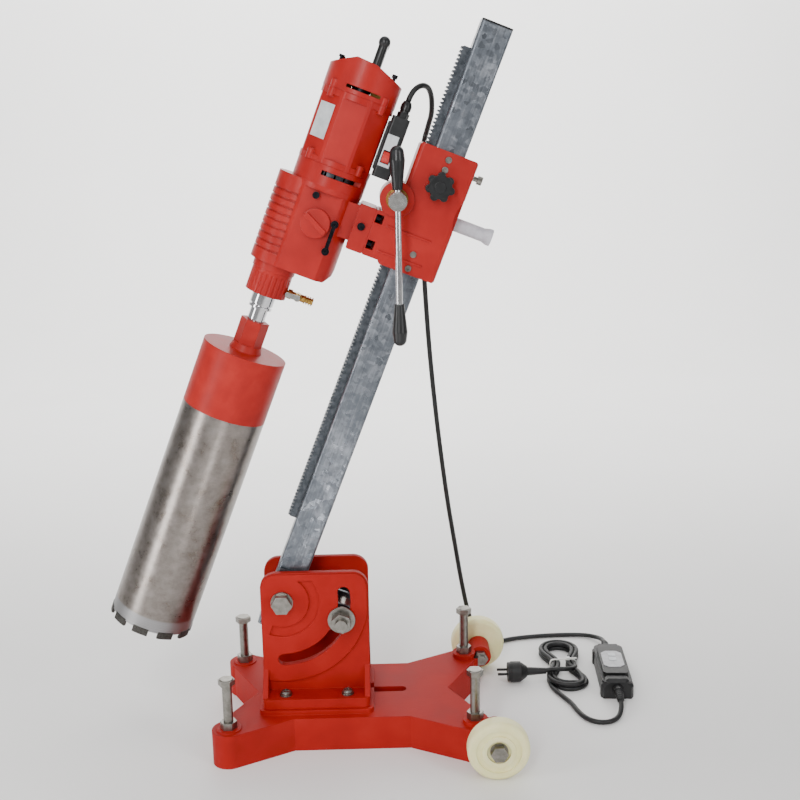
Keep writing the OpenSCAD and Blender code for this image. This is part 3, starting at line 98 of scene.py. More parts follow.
def smoothPath(points, step):
    # even points on one smooth curve through the given ones
    dense, steps = [], 24
    ends = [2 * points[0] - points[1]] + points + [2 * points[-1] - points[-2]]
    for i in range(1, len(ends) - 2):
        p0, p1, p2, p3 = ends[i - 1:i + 3]
        m1 = (p2 - p0) * ((p2 - p1).length / max((p2 - p0).length, 1e-9))
        m2 = (p3 - p1) * ((p2 - p1).length / max((p3 - p1).length, 1e-9))
        for k in range(steps):
            t = k / steps
            dense.append((2 * t**3 - 3 * t**2 + 1) * p1 + (t**3 - 2 * t**2 + t) * m1
                         + (-2 * t**3 + 3 * t**2) * p2 + (t**3 - t**2) * m2)
    dense.append(points[-1].copy())
    run = [0.0]
    for a, b in zip(dense, dense[1:]):
        run.append(run[-1] + (b - a).length)
    count = max(2, round(run[-1] / step))
    even, j = [], 0
    for k in range(count + 1):
        want = run[-1] * k / count
        while j < len(run) - 2 and run[j + 1] < want:
            j += 1
        share = (want - run[j]) / max(run[j + 1] - run[j], 1e-12)
        even.append(dense[j].lerp(dense[j + 1], min(max(share, 0), 1)))
    return even


def pathLength(points):
    return sum((b - a).length for a, b in zip(points, points[1:]))


def newPiece(name, verts, faces, smooth=True):
    mesh = bpy.data.meshes.new(name)
    mesh.from_pydata([tuple(v) for v in verts], [], faces)
    mesh.validate()
    mesh.update()
    for face in mesh.polygons:
        face.use_smooth = smooth
    piece = bpy.data.objects.new(name, mesh)
    bpy.context.scene.collection.objects.link(piece)
    return piece


def sweptRound(name, path, radii, sides=16):
    # a closed round bar along the path, one radius for each point
    verts, faces = [], []
    side = None
    for i, point in enumerate(path):
        ahead = (path[min(i + 1, len(path) - 1)] - path[max(i - 1, 0)]).normalized()
        if side is None:
            side = ahead.orthogonal().normalized()
        side = (side - side.dot(ahead) * ahead).normalized()
        other = ahead.cross(side)
        for k in range(sides):
            turn = 2 * math.pi * k / sides
            verts.append(point + radii[i] * (math.cos(turn) * side + math.sin(turn) * other))
    for i in range(len(path) - 1):
        for k in range(sides):
            a, b = i * sides + k, i * sides + (k + 1) % sides
            faces.append((a, b, b + sides, a + sides))
    last = (len(path) - 1) * sides
    faces.append(tuple(reversed(range(sides))))
    faces.append(tuple(last + k for k in range(sides)))
    return newPiece(name, verts, faces)


# ---- the mains lead: gland on the switch box, over behind the rack, down to the safety switch
leadSettings = {
    "radius": 0.0043,
    "step": 0.004,
    "upper": [(-87, -6, 832), (-86.5, -5.5, 842), (-83, -1, 854), (-75, 9, 863), (-65, 23, 864),
              (-56, 37, 856), (-49, 50, 843), (-44, 62, 829), (-42, 74, 814), (-40, 88, 796)],
    "lower": [(136, 106, 975), (134, 118, 945), (134, 127, 910), (134, 134, 870),
              (136, 141, 800), (140, 149, 720), (146, 158, 630), (155, 169, 530), (166, 181, 430),
              (179, 195, 330), (193, 210, 240), (206, 225, 160), (219, 240, 95), (234, 256, 46),
              (252, 271, 17), (278, 288, 6), (312, 302, 5), (352, 310, 5), (396, 314, 5),
              (434, 314, 5), (462, 308, 6), (480, 292, 9), (488, 272, 13)],
    "tail": [(470, -2, 13), (460, -24, 6), (441, -38, 5), (419, -36, 5), (403, -20, 5),
             (394, 4, 5), (387, 32, 5), (375, 60, 5), (364, 88, 5)],
    "upperLength": 0.16,
    "lowerLength": 1.34,
    "tailLength": 1.93,
}
safetySwitch = {"centre": (480, 130), "turn": 86, "glandZ": 19, "glandOut": 92}


def glandPoint(side, out):
    turn = math.radians(safetySwitch["turn"])
    reach = side * (safetySwitch["glandOut"] + out)
    return (safetySwitch["centre"][0] + reach * math.cos(turn),
            safetySwitch["centre"][1] + reach * math.sin(turn), safetySwitch["glandZ"])


hankSettings = {
    "x": 395, "y0": 119, "y1": 231,     # mm, middle line and the centres of the two end bends
    "outer": 34.4, "inner": 25.4,       # bend radii of the two rings of turns
    "low": 4.6, "high": 13.4,           # heights of the two layers
    "waistIn": 9.5, "waistOut": 18.6,   # where the tie gathers the runs
    "leaveY": 164.5, "leaveZ": 22.2,
    "plug": (356, 130, 19.5),
}


def ease(t, a, b):
    u = min(max((t - a) / (b - a), 0), 1)
    return u * u * (3 - 2 * u)


def hankPoints(s):
    # inward along the floor, up at the inner ring, then outward on top and away to the plug
    points = []

    def straight(sign, radius, z, upward, until=None):
        steps = 8
        for k in range(steps + 1):
            t = k / steps
            y = s["y0"] + t * (s["y1"] - s["y0"]) if upward else s["y1"] - t * (s["y1"] - s["y0"])
            if until is not None and y < until:
                return
            waist = s["waistIn"] if radius == s["inner"] else s["waistOut"]
            pinch = math.sin(math.pi * t) ** 2
            points.append((s["x"] + sign * (radius + pinch * (waist - radius)), y, z))

    def bend(atTop, r0, r1, z0, z1, zSpan, rSpan):
        y = s["y1"] if atTop else s["y0"]
        for k in range(1, 12):
            t = k / 12
            r = r0 + (r1 - r0) * ease(t, *rSpan)
            turn = math.pi * (1 - t) if atTop else -math.pi * t
            points.append((s["x"] + r * math.cos(turn), y + r * math.sin(turn),
                           z0 + (z1 - z0) * ease(t, *zSpan)))

    outer, inner, low, high = s["outer"], s["inner"], s["low"], s["high"]
    whole, firstHalf, lastHalf = (0, 1), (0, 0.5), (0.5, 1)
    for turn, (radius, z) in enumerate([(outer, low), (inner, low), (inner, high), (outer, high)]):
        straight(-1, radius, z, True)
        bend(True, radius, radius, z, z, whole, whole)
        straight(1, radius, z, False, s["leaveY"] + 18 if turn == 3 else None)
        if turn == 0:
            bend(False, outer, inner, low, low, whole, lastHalf)
        elif turn == 1:
            bend(False, inner, inner, low, high, firstHalf, whole)
        elif turn == 2:
            bend(False, inner, outer, high, high, whole, (0, 0.34))
    px, py, pz = s["plug"]
    r = s["leaveY"] - py
    startX = points[-1][0]
    for k in range(1, 8):
        turn = math.pi / 2 * k / 8
        points.append((startX - r * (1 - math.cos(turn)), s["leaveY"] - r * math.sin(turn),
                       high + (s["leaveZ"] - high) * ease(k / 8, 0, 1)))
    points.append((startX - r - 4, py, s["leaveZ"]))
    points.append((px + 8, py, s["leaveZ"] - 0.6))
    points.append((px - 6, py, pz + 0.6))
    points.append((px - 20, py, pz))
    return points


upperEnd = onMast(leadSettings["upper"][-1])
upperPath = smoothPath([onMast(p) for p in leadSettings["upper"]], leadSettings["step"])
lowerPath = smoothPath([upperEnd, upperEnd + Vector((0, 0.006, 0))] + inMetres(leadSettings["lower"])
                       + inMetres([(glandPoint(1, 24)[0], glandPoint(1, 24)[1], 17), glandPoint(1, 12),
                                   glandPoint(1, 0)]),
                       leadSettings["step"])
tailPath = smoothPath(inMetres([glandPoint(-1, 0),
                                glandPoint(-1, 18)] + leadSettings["tail"] + hankPoints(hankSettings)),
                      leadSettings["step"])
print("lead lengths", [round(pathLength(p), 3) for p in (upperPath, lowerPath, tailPath)])

leadUpper = sweptRound("leadOverTop", upperPath, [leadSettings["radius"]] * len(upperPath))
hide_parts("lead_upper")
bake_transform(leadUpper)
leadLower = sweptRound("leadDown", lowerPath, [leadSettings["radius"]] * len(lowerPath))
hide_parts("lead_lower")
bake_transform(leadLower)
leadTail = sweptRound("leadHank", tailPath, [leadSettings["radius"]] * len(tailPath))
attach(leadTail, "base")
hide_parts("lead_tail", "cord_hank")

# ---- cable tie round the hank's waist
tieSettings = {"y": 175, "width": 3.6, "thick": 1.3, "halfX": 24.2, "z0": 0.2, "z1": 19.4, "corner": 7.0,
               # from and to in x, lower and upper height above z1, half width
               "head": (6, 12.5, 0.2, 4.4, 3.2), "cutTail": (12.5, 26, 1.6, 2.8, 1.7)}


def addTie(s):
    outline = []
    cz = (s["z0"] + s["z1"]) / 2
    for k in range(64):
        turn = 2 * math.pi * k / 64
        cx, sz = math.cos(turn), math.sin(turn)
        x = (s["halfX"] - s["corner"]) * (1 if cx > 0 else -1) + s["corner"] * cx
        z = cz + ((s["z1"] - s["z0"]) / 2 - s["corner"]) * (1 if sz > 0 else -1) + s["corner"] * sz
        outline.append((x, z, cx, sz))
    verts, faces = [], []
    n = len(outline)
    for side in (-1, 1):
        for out in (0, 1):
            for x, z, nx, nz in outline:
                grow = out * s["thick"]
                verts.append(Vector((hankSettings["x"] + x + grow * nx, s["y"] + side * s["width"] / 2,
                                     max(z + grow * nz, 0.1))) / 1000)
    for k in range(n):
        j = (k + 1) % n
        a, b, c, d = 0, n, 2 * n, 3 * n
        faces += [(a + k, a + j, b + j, b + k), (c + k, d + k, d + j, c + j),
                  (b + k, b + j, d + j, d + k), (a + k, c + k, c + j, a + j)]
    # head and cut tail on the upper face
    for x0, x1, low, high, halfWidth in (s["head"], s["cutTail"]):
        base = len(verts)
        for x in (x0, x1):
            for y in (-halfWidth, halfWidth):
                for z in (s["z1"] + low, s["z1"] + high):
                    verts.append(Vector((hankSettings["x"] + x, s["y"] + y, z)) / 1000)
        faces += [tuple(base + i for i in q) for q in
                  ((0, 1, 3, 2), (4, 6, 7, 5), (0, 4, 5, 1), (2, 3, 7, 6), (0, 2, 6, 4), (1, 5, 7, 3))]
    return newPiece("cableTie", verts, faces, smooth=False)


cableTie = addTie(tieSettings)
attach(cableTie, "base")

# ---- ribbed strain reliefs where the lead enters the safety switch
reliefSettings = {"length": 0.026, "wide": 0.0078, "thin": 0.0056, "ribs": 5,
                  "ribHigh": 0.0009, "ribFrom": -0.2, "grooveDeep": 0.0004}


def addRelief(name, path, s):
    # path starts at the gland
    line, radii = [], []
    steps = s["ribs"] * 8
    dense = smoothPath(path, s["length"] / steps / 2)
    run = 0.0
    for i, point in enumerate(dense):
        if i:
            run += (point - dense[i - 1]).length
        if run > s["length"]:
            break
        t = run / s["length"]
        ring = s["ribHigh"] * (math.cos(2 * math.pi * s["ribs"] * t) > s["ribFrom"])
        line.append(point)
        radii.append(s["wide"] + (s["thin"] - s["wide"]) * t + ring - s["grooveDeep"])
    return sweptRound(name, line, radii, 24)


reliefFar = addRelief("reliefFar", list(reversed(lowerPath[-16:])), reliefSettings)
reliefNear = addRelief("reliefNear", tailPath[:16], reliefSettings)
for piece in (reliefFar, reliefNear):
    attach(piece, "base")
print("leads done")

# ---- safety switch: label plate with a bevelled edge, and end caps
labelSettings = {"halfLength": 33, "halfWidth": 19, "chamfer": 9, "z": 40.05, "thick": 0.9,
                 "sunk": 0.3, "bevelHigh": 0.3, "bevelIn": 0.6}


def switchPoint(x, y, z):
    turn = math.radians(safetySwitch["turn"])
    cx, cy = safetySwitch["centre"]
    return Vector((cx + x * math.cos(turn) - y * math.sin(turn), cy + x * math.sin(turn) + y * math.cos(turn),
                   z)) / 1000


def octagon(l, w, c):
    return [(-l + c, -w), (l - c, -w), (l, -w + c), (l, w - c), (l - c, w), (-l + c, w), (-l, w - c),
            (-l, -w + c)]


def addLabel(s):
    # flat plate with a bevelled edge, that the two buttons stand through
    l, w, c = s["halfLength"], s["halfWidth"], s["chamfer"]
    outline = octagon(l, w, c)
    verts, faces = [], []
    rings = [(outline, s["z"] - s["sunk"]), (outline, s["z"] + s["thick"] - s["bevelHigh"]),
             (octagon(l - s["bevelIn"], w - s["bevelIn"], c), s["z"] + s["thick"])]
    for ring, z in rings:
        verts += [switchPoint(x, y, z) for x, y in ring]
    for r in range(2):
        for k in range(8):
            j = (k + 1) % 8
            faces.append((r * 8 + k, r * 8 + j, r * 8 + 8 + j, r * 8 + 8 + k))
    faces.append(tuple(16 + k for k in range(8)))
    faces.append(tuple(reversed(range(8))))
    return newPiece("switchLabel", verts, faces, smooth=False)


switchLabel = addLabel(labelSettings)
endCapSettings = {"from": 58, "to": 79, "halfWidth": 28.2, "top": 35.5, "chamfer": 12, "grow": 1.2}


def addEndCap(name, side, s):
    # chamfered shell round each end of the case
    w, top, c = s["halfWidth"], s["top"], s["chamfer"]
    section = [(-w, 1.0), (-w, top - c), (-w + c, top), (w - c, top), (w, top - c), (w, 1.0)]
    verts, faces = [], []
    stations = [(s["from"], 0.0), (s["from"] + 1.4, s["grow"]), (s["to"] - 7, s["grow"]), (s["to"], -3.5)]
    for x, grow in stations:
        for y, z in section:
            verts.append(switchPoint(side * x, y * (1 + grow / w),
                                     max(z * (1 + grow / top), 0.6) if z > 1.5 else 0.6))
    n = len(section)
    for r in range(len(stations) - 1):
        for k in range(n - 1):
            quad = (r * n + k, r * n + k + 1, r * n + n + k + 1, r * n + n + k)
            faces.append(quad if side > 0 else tuple(reversed(quad)))
    for r in (0, len(stations) - 1):
        cap = tuple(r * n + k for k in range(n))
        faces.append(cap if (r == 0) != (side > 0) else tuple(reversed(cap)))
    return newPiece(name, verts, faces, smooth=False)


endCaps = [addEndCap("endCapFar", 1, endCapSettings), addEndCap("endCapNear", -1, endCapSettings)]
for piece in [switchLabel] + endCaps:
    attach(piece, "base")
print("safety switch done")

# ---- materials
def linear(hexColour):
    channels = [int(hexColour[i:i + 2], 16) / 255 for i in (1, 3, 5)]
    return tuple(c / 12.92 if c <= 0.04045 else ((c + 0.055) / 1.055) ** 2.4 for c in channels) + (1.0,)


def addNode(tree, kind, settings=None, links=None):
    # settings go to attributes or to sockets by name or number, links are socket: (node, output)
    made = tree.nodes.new("ShaderNode" + kind)
    for key, value in (settings or {}).items():
        if isinstance(key, str) and hasattr(made, key):
            setattr(made, key, value)
        else:
            made.inputs[key].default_value = value
    for key, (source, output) in (links or {}).items():
        tree.links.new(source.outputs[output], made.inputs[key])
    return made


def newMaterial(name):
    material = bpy.data.materials.new(name)
    material.use_nodes = True
    tree = material.node_tree
    tree.nodes.clear()
    return material, tree


def finishMaterial(tree, shader):
    addNode(tree, "OutputMaterial", {}, {"Surface": (shader, "BSDF")})


def rampNode(tree, stops, source, output="Fac"):
    ramp = addNode(tree, "ValToRGB", {}, {"Fac": (source, output)})
    parts = ramp.color_ramp.elements
    while len(parts) < len(stops):
        parts.new(0.5)
    for part, (place, colour) in zip(parts, stops):
        part.position = place
        part.color = linear(colour) if isinstance(colour, str) else (colour, colour, colour, 1)
    return ramp


# enamel on sand-cast iron: thick dull paint, a soft orange-peel and the sand's fine lumps under it
enamelCastIron = {"colour": "#9E1813", "light": "#A61F19", "dark": "#941611", "patchMm": 70, "lumpMm": 2.6,
                  "lump": 0.25, "peelMm": 9, "peel": 0.12, "rough": 0.55, "specular": 0.14, "coat": 0.0,
                  "edgeMm": 2.4}
# enamel on die-cast aluminium: a flatter, brighter coat over a smooth skin
enamelDieCast = {"colour": "#A31A15", "light": "#AB201A", "dark": "#9A1712", "patchMm": 45, "lumpMm": 1.2,
                 "lump": 0.10, "peelMm": 6, "peel": 0.08, "rough": 0.36, "specular": 0.26, "coat": 0.04,
                 "edgeMm": 1.8}
# enamel on turned steel: between the two castings' paints in gloss
enamelSteel = {"colour": "#A51E17", "light": "#AD261E", "dark": "#9C1A14", "patchMm": 24, "lumpMm": 0.9,
               "lump": 0.10, "peelMm": 5, "peel": 0.08, "rough": 0.42, "specular": 0.24, "coat": 0.0,
               "edgeMm": 1.2}


def enamel(name, s):
    material, tree = newMaterial(name)
    place = addNode(tree, "TexCoord")
    patch = addNode(tree, "TexNoise", {"Scale": 1000 / s["patchMm"], "Detail": 3.0, "Roughness": 0.55},
                    {"Vector": (place, "Object")})
    colour = rampNode(tree, [(0.30, s["dark"]), (0.50, s["colour"]), (0.72, s["light"])], patch)
    rough = addNode(tree, "MapRange", {"To Min": s["rough"] - 0.06, "To Max": s["rough"] + 0.10},
                    {"Value": (patch, "Fac")})
    edge = addNode(tree, "Bevel", {"samples": 6, "Radius": s["edgeMm"] / 1000})
    lump = addNode(tree, "TexNoise", {"Scale": 1000 / s["lumpMm"], "Detail": 2.0},
                   {"Vector": (place, "Object")})
    lumpBump = addNode(tree, "Bump", {"Strength": s["lump"], "Distance": 0.0006},
                       {"Height": (lump, "Fac"), "Normal": (edge, "Normal")})
    peel = addNode(tree, "TexNoise", {"Scale": 1000 / s["peelMm"], "Detail": 1.0},
                   {"Vector": (place, "Object")})
    peelBump = addNode(tree, "Bump", {"Strength": s["peel"], "Distance": 0.0012},
                       {"Height": (peel, "Fac"), "Normal": (lumpBump, "Normal")})
    shader = addNode(tree, "BsdfPrincipled", {"Coat Weight": s["coat"], "Coat Roughness": 0.15, "IOR": 1.5,
                                             "Specular IOR Level": s["specular"]},
                     {"Base Color": (colour, "Color"), "Roughness": (rough, "Result"),
                      "Normal": (peelBump, "Normal"),
                      "Coat Normal": (peelBump, "Normal")})
    finishMaterial(tree, shader)
    return material


# plated, blackened and bare steels and copper alloys: mottled reflection, faint handling marks
metalSettings = {
    "zincPlatedSteel": {"colour": "#94918B", "dark": "#7B7872", "mottleMm": 9, "rough": 0.30, "spread": 0.14,
                        "grainMm": 0.8, "bump": 0.06, "edgeMm": 0.5},
    "rolledDarkSteel": {"colour": "#5A5E63", "dark": "#3E4247", "mottleMm": 7, "rough": 0.38, "spread": 0.16,
                        "grainMm": 1.0, "bump": 0.08, "edgeMm": 0.4},
    "blackOxideSteel": {"colour": "#24252A", "dark": "#131417", "mottleMm": 4, "rough": 0.30, "spread": 0.12,
                        "grainMm": 0.8, "bump": 0.05, "edgeMm": 0.5},
    "groundBrightSteel": {"colour": "#B4B3B0", "dark": "#A09E9A", "mottleMm": 12, "rough": 0.24,
                          "spread": 0.08, "grainMm": 0.6, "bump": 0.03, "edgeMm": 0.6},
    "chromedRod": {"colour": "#E0E0E2", "dark": "#CFCFD2", "mottleMm": 9, "rough": 0.08, "spread": 0.06,
                   "grainMm": 1.2, "bump": 0.02, "edgeMm": 0.5},
    "castBronze": {"colour": "#9A7440", "dark": "#6E5029", "mottleMm": 4, "rough": 0.36, "spread": 0.14,
                   "grainMm": 1.0, "bump": 0.08, "edgeMm": 0.4},
    "enamelledCopper": {"colour": "#A35A33", "dark": "#7B3F21", "mottleMm": 3, "rough": 0.34, "spread": 0.12,
                        "grainMm": 0.8, "bump": 0.08, "edgeMm": 0.3},
    "turnedBrass": {"colour": "#B99350", "dark": "#8E6C34", "mottleMm": 4, "rough": 0.26, "spread": 0.12,
                    "grainMm": 0.7, "bump": 0.05, "edgeMm": 0.5},
    "sinteredSegment": {"colour": "#5C5A57", "dark": "#34322F", "mottleMm": 1.4, "rough": 0.55,
                        "spread": 0.18, "grainMm": 0.9, "bump": 0.5, "edgeMm": 0.4},
}


def metal(name, s):
    material, tree = newMaterial(name)
    place = addNode(tree, "TexCoord")
    mottle = addNode(tree, "TexNoise", {"Scale": 1000 / s["mottleMm"], "Detail": 4.0, "Roughness": 0.6},
                     {"Vector": (place, "Object")})
    colour = rampNode(tree, [(0.34, s["dark"]), (0.62, s["colour"])], mottle)
    rough = addNode(tree, "MapRange", {"To Min": max(s["rough"] - s["spread"] / 2, 0.04),
                                       "To Max": s["rough"] + s["spread"]},
                    {"Value": (mottle, "Fac")})
    edge = addNode(tree, "Bevel", {"samples": 4, "Radius": s["edgeMm"] / 1000})
    grain = addNode(tree, "TexNoise", {"Scale": 1000 / s["grainMm"], "Detail": 2.0},
                    {"Vector": (place, "Object")})
    bump = addNode(tree, "Bump", {"Strength": s["bump"], "Distance": 0.0003},
                   {"Height": (grain, "Fac"), "Normal": (edge, "Normal")})
    shader = addNode(tree, "BsdfPrincipled", {"Metallic": 1.0},
                     {"Base Color": (colour, "Color"), "Roughness": (rough, "Result"),
                      "Normal": (bump, "Normal")})
    finishMaterial(tree, shader)
    return material


# hot-dip galvanised tube: zinc spangles about 7 mm across, drawn-out drag marks along the mast, dull blue-grey
galvanisedSettings = {"spangleMm": 7, "warpScale": 90.0, "warpPush": 0.012, "cloudScale": 22.0,
                      "pale": "#8B8F96", "mid": "#6C7178", "deep": "#5A5F66", "dragMm": 2.6, "dragLong": 30,
                      "rough": 0.33}


def galvanised(name, s):
    material, tree = newMaterial(name)
    place = addNode(tree, "TexCoord")
    # turn the texture space so that its Z runs along the leaning mast
    along = addNode(tree, "Mapping", {"vector_type": "TEXTURE", "Rotation": (0, mastLean, 0)},
                    {"Vector": (place, "Object")})
    warp = addNode(tree, "TexNoise", {"Scale": s["warpScale"], "Detail": 2.0}, {"Vector": (along, "Vector")})
    push = addNode(tree, "VectorMath", {"operation": "SCALE", "Scale": s["warpPush"]}, {0: (warp, "Color")})
    bent = addNode(tree, "VectorMath", {"operation": "ADD"}, {0: (along, "Vector"), 1: (push, "Vector")})
    spangle = addNode(tree, "TexVoronoi", {"Scale": 1000 / s["spangleMm"], "Randomness": 1.0},
                      {"Vector": (bent, "Vector")})
    tone = addNode(tree, "SeparateColor", {}, {"Color": (spangle, "Color")})
    cloud = addNode(tree, "TexNoise", {"Scale": s["cloudScale"], "Detail": 4.0, "Roughness": 0.6},
                    {"Vector": (along, "Vector")})
    drag = addNode(tree, "Mapping", {"Scale": (1000 / s["dragMm"], 1000 / s["dragMm"],
                                               1000 / (s["dragMm"] * s["dragLong"]))},
                   {"Vector": (along, "Vector")})
    streak = addNode(tree, "TexNoise", {"Scale": 1.0, "Detail": 3.0}, {"Vector": (drag, "Vector")})
    both = addNode(tree, "Math", {"operation": "MULTIPLY_ADD", 1: 0.20},
                   {0: (tone, "Red"), 2: (cloud, "Fac")})
    total = addNode(tree, "Math", {"operation": "MULTIPLY_ADD", 1: 0.45},
                    {0: (streak, "Fac"), 2: (both, "Value")})
    colour = rampNode(tree, [(0.55, s["deep"]), (0.80, s["mid"]), (1.0, s["pale"])], total, "Value")
    rough = addNode(tree, "MapRange", {"To Min": s["rough"] - 0.08, "To Max": s["rough"] + 0.20},
                    {"Value": (tone, "Green")})
    edge = addNode(tree, "Bevel", {"samples": 6, "Radius": 0.0022})
    bump = addNode(tree, "Bump", {"Strength": 0.10, "Distance": 0.0004},
                   {"Height": (streak, "Fac"), "Normal": (edge, "Normal")})
    shader = addNode(tree, "BsdfPrincipled", {"Metallic": 0.85},
                     {"Base Color": (colour, "Color"), "Roughness": (rough, "Result"),
                      "Normal": (bump, "Normal")})
    finishMaterial(tree, shader)
    return material


# drawn steel tube dressed with a belt: fine rings round it, a warm film of old slurry in blotches
brushedTubeSettings = {"colour": "#857E79", "warm": "#70675F", "pale": "#9C9691", "ringMm": 1.1,
                       "blotchMm": 22, "rough": 0.25,
                       "bandTop": 0.0932, "bandBlur": 0.0016, "band": "#A3A2A3", "bandRough": 0.46}


def brushedTube(name, s):
    material, tree = newMaterial(name)
    place = addNode(tree, "TexCoord")
    height = addNode(tree, "VectorMath", {"operation": "DOT_PRODUCT", 1: tuple(mastAxis)},
                     {0: (place, "Object")})
    ringScale = addNode(tree, "Math", {"operation": "MULTIPLY", 1: 1000 / s["ringMm"]},
                        {0: (height, "Value")})
    ring = addNode(tree, "TexNoise", {"noise_dimensions": "1D", "Scale": 1.0, "Detail": 4.0,
                                      "Roughness": 0.7}, {"W": (ringScale, "Value")})
    blotch = addNode(tree, "TexNoise", {"Scale": 1000 / s["blotchMm"], "Detail": 5.0, "Roughness": 0.62},
                     {"Vector": (place, "Object")})
    mixed = addNode(tree, "Math", {"operation": "MULTIPLY_ADD", 1: 0.20},
                    {0: (ring, "Fac"), 2: (blotch, "Fac")})
    steel = rampNode(tree, [(0.34, s["warm"]), (0.58, s["colour"]), (0.88, s["pale"])], mixed, "Value")
    steelRough = addNode(tree, "MapRange", {"To Min": s["rough"] - 0.05, "To Max": s["rough"] + 0.10},
                         {"Value": (mixed, "Value")})
    # the welded ring above the segments is left as blasted
    low = addNode(tree, "MapRange", {"From Min": s["bandTop"] + s["bandBlur"],
                                     "From Max": s["bandTop"] - s["bandBlur"]},
                  {"Value": (height, "Value")})
    bandTone = rampNode(tree, [(0.3, "#8F8E8F"), (0.7, s["band"])], ring)
    colour = addNode(tree, "Mix", {"data_type": "RGBA"},
                     {0: (low, "Result"), 6: (steel, "Color"), 7: (bandTone, "Color")})
    rough = addNode(tree, "MapRange", {"To Max": s["bandRough"]},
                    {"Value": (low, "Result"), "To Min": (steelRough, "Result")})
    edge = addNode(tree, "Bevel", {"samples": 4, "Radius": 0.0005})
    bump = addNode(tree, "Bump", {"Strength": 0.12, "Distance": 0.0002},
                   {"Height": (ring, "Fac"), "Normal": (edge, "Normal")})
    shader = addNode(tree, "BsdfPrincipled", {"Metallic": 1.0},
                     {"Base Color": (colour, 2), "Roughness": (rough, "Result"), "Normal": (bump, "Normal")})
    finishMaterial(tree, shader)
    return material


# moulded plastics, rubber and blank printed plates: a spark-eroded or polished skin with small wear
mouldedSettings = {
    "castNylon": {"colour": "#F2ECB6", "dark": "#ECE6AA", "mottleMm": 20, "rough": 0.38, "grainMm": 0.7,
                  "bump": 0.10, "edgeMm": 0.9, "subsurface": 0.12},
    "mouldedGreyNylon": {"colour": "#C6C5CC", "dark": "#B4B3BB", "mottleMm": 14, "rough": 0.40,
                         "grainMm": 0.7, "bump": 0.10, "edgeMm": 0.8, "subsurface": 0.0},
    "mouldedBlackNylon": {"colour": "#151618", "dark": "#0D0E0F", "mottleMm": 12, "rough": 0.28,
                          "grainMm": 0.7, "bump": 0.10, "edgeMm": 1.4, "subsurface": 0.0},
    "enamelledPlate": {"colour": "#D3D6D8", "dark": "#BFC3C6", "mottleMm": 16, "rough": 0.34, "grainMm": 0.8,
                       "bump": 0.03, "edgeMm": 0.3, "subsurface": 0.0},
    "silverFilm": {"colour": "#B9B9BC", "dark": "#A2A2A6", "mottleMm": 9, "rough": 0.32, "grainMm": 0.8,
                   "bump": 0.04, "edgeMm": 0.3, "subsurface": 0.0},
    "redRockerAbs": {"colour": "#C62F28", "dark": "#AC241E", "mottleMm": 6, "rough": 0.26, "grainMm": 0.6,
                     "bump": 0.04, "edgeMm": 0.6, "subsurface": 0.0},
    "rubberSheath": {"colour": "#0D0D0F", "dark": "#070708", "mottleMm": 8, "rough": 0.46, "grainMm": 0.8,
                     "bump": 0.16, "edgeMm": 0.5, "subsurface": 0.0},
    "mouldedRubberCase": {"colour": "#131315", "dark": "#0C0C0D", "mottleMm": 10, "rough": 0.42,
                          "grainMm": 0.8, "bump": 0.18, "edgeMm": 1.2, "subsurface": 0.0},
    "whiteTieNylon": {"colour": "#E6E6E2", "dark": "#D6D6D0", "mottleMm": 5, "rough": 0.36, "grainMm": 0.6,
                      "bump": 0.06, "edgeMm": 0.3, "subsurface": 0.05},
}


def moulded(name, s):
    material, tree = newMaterial(name)
    place = addNode(tree, "TexCoord")
    mottle = addNode(tree, "TexNoise", {"Scale": 1000 / s["mottleMm"], "Detail": 4.0, "Roughness": 0.6},
                     {"Vector": (place, "Object")})
    colour = rampNode(tree, [(0.36, s["dark"]), (0.60, s["colour"])], mottle)
    rough = addNode(tree, "MapRange", {"To Min": s["rough"] - 0.06, "To Max": s["rough"] + 0.12},
                    {"Value": (mottle, "Fac")})
    edge = addNode(tree, "Bevel", {"samples": 4, "Radius": s["edgeMm"] / 1000})
    grain = addNode(tree, "TexNoise", {"Scale": 1000 / s["grainMm"], "Detail": 2.0},
                    {"Vector": (place, "Object")})
    bump = addNode(tree, "Bump", {"Strength": s["bump"], "Distance": 0.0003},
                   {"Height": (grain, "Fac"), "Normal": (edge, "Normal")})
    shader = addNode(tree, "BsdfPrincipled", {"IOR": 1.5, "Subsurface Weight": s["subsurface"],
                                              "Subsurface Scale": 0.004},
                     {"Base Color": (colour, "Color"), "Roughness": (rough, "Result"),
                      "Normal": (bump, "Normal")})
    finishMaterial(tree, shader)
    return material


made = {name: metal(name, s) for name, s in metalSettings.items()}
made.update({name: moulded(name, s) for name, s in mouldedSettings.items()})
made["enamelCastIron"] = enamel("enamelCastIron", enamelCastIron)
made["enamelDieCast"] = enamel("enamelDieCast", enamelDieCast)
made["enamelSteel"] = enamel("enamelSteel", enamelSteel)
made["galvanisedTube"] = galvanised("galvanisedTube", galvanisedSettings)
made["beltBrushedTube"] = brushedTube("beltBrushedTube", brushedTubeSettings)
print("materials", len(made))

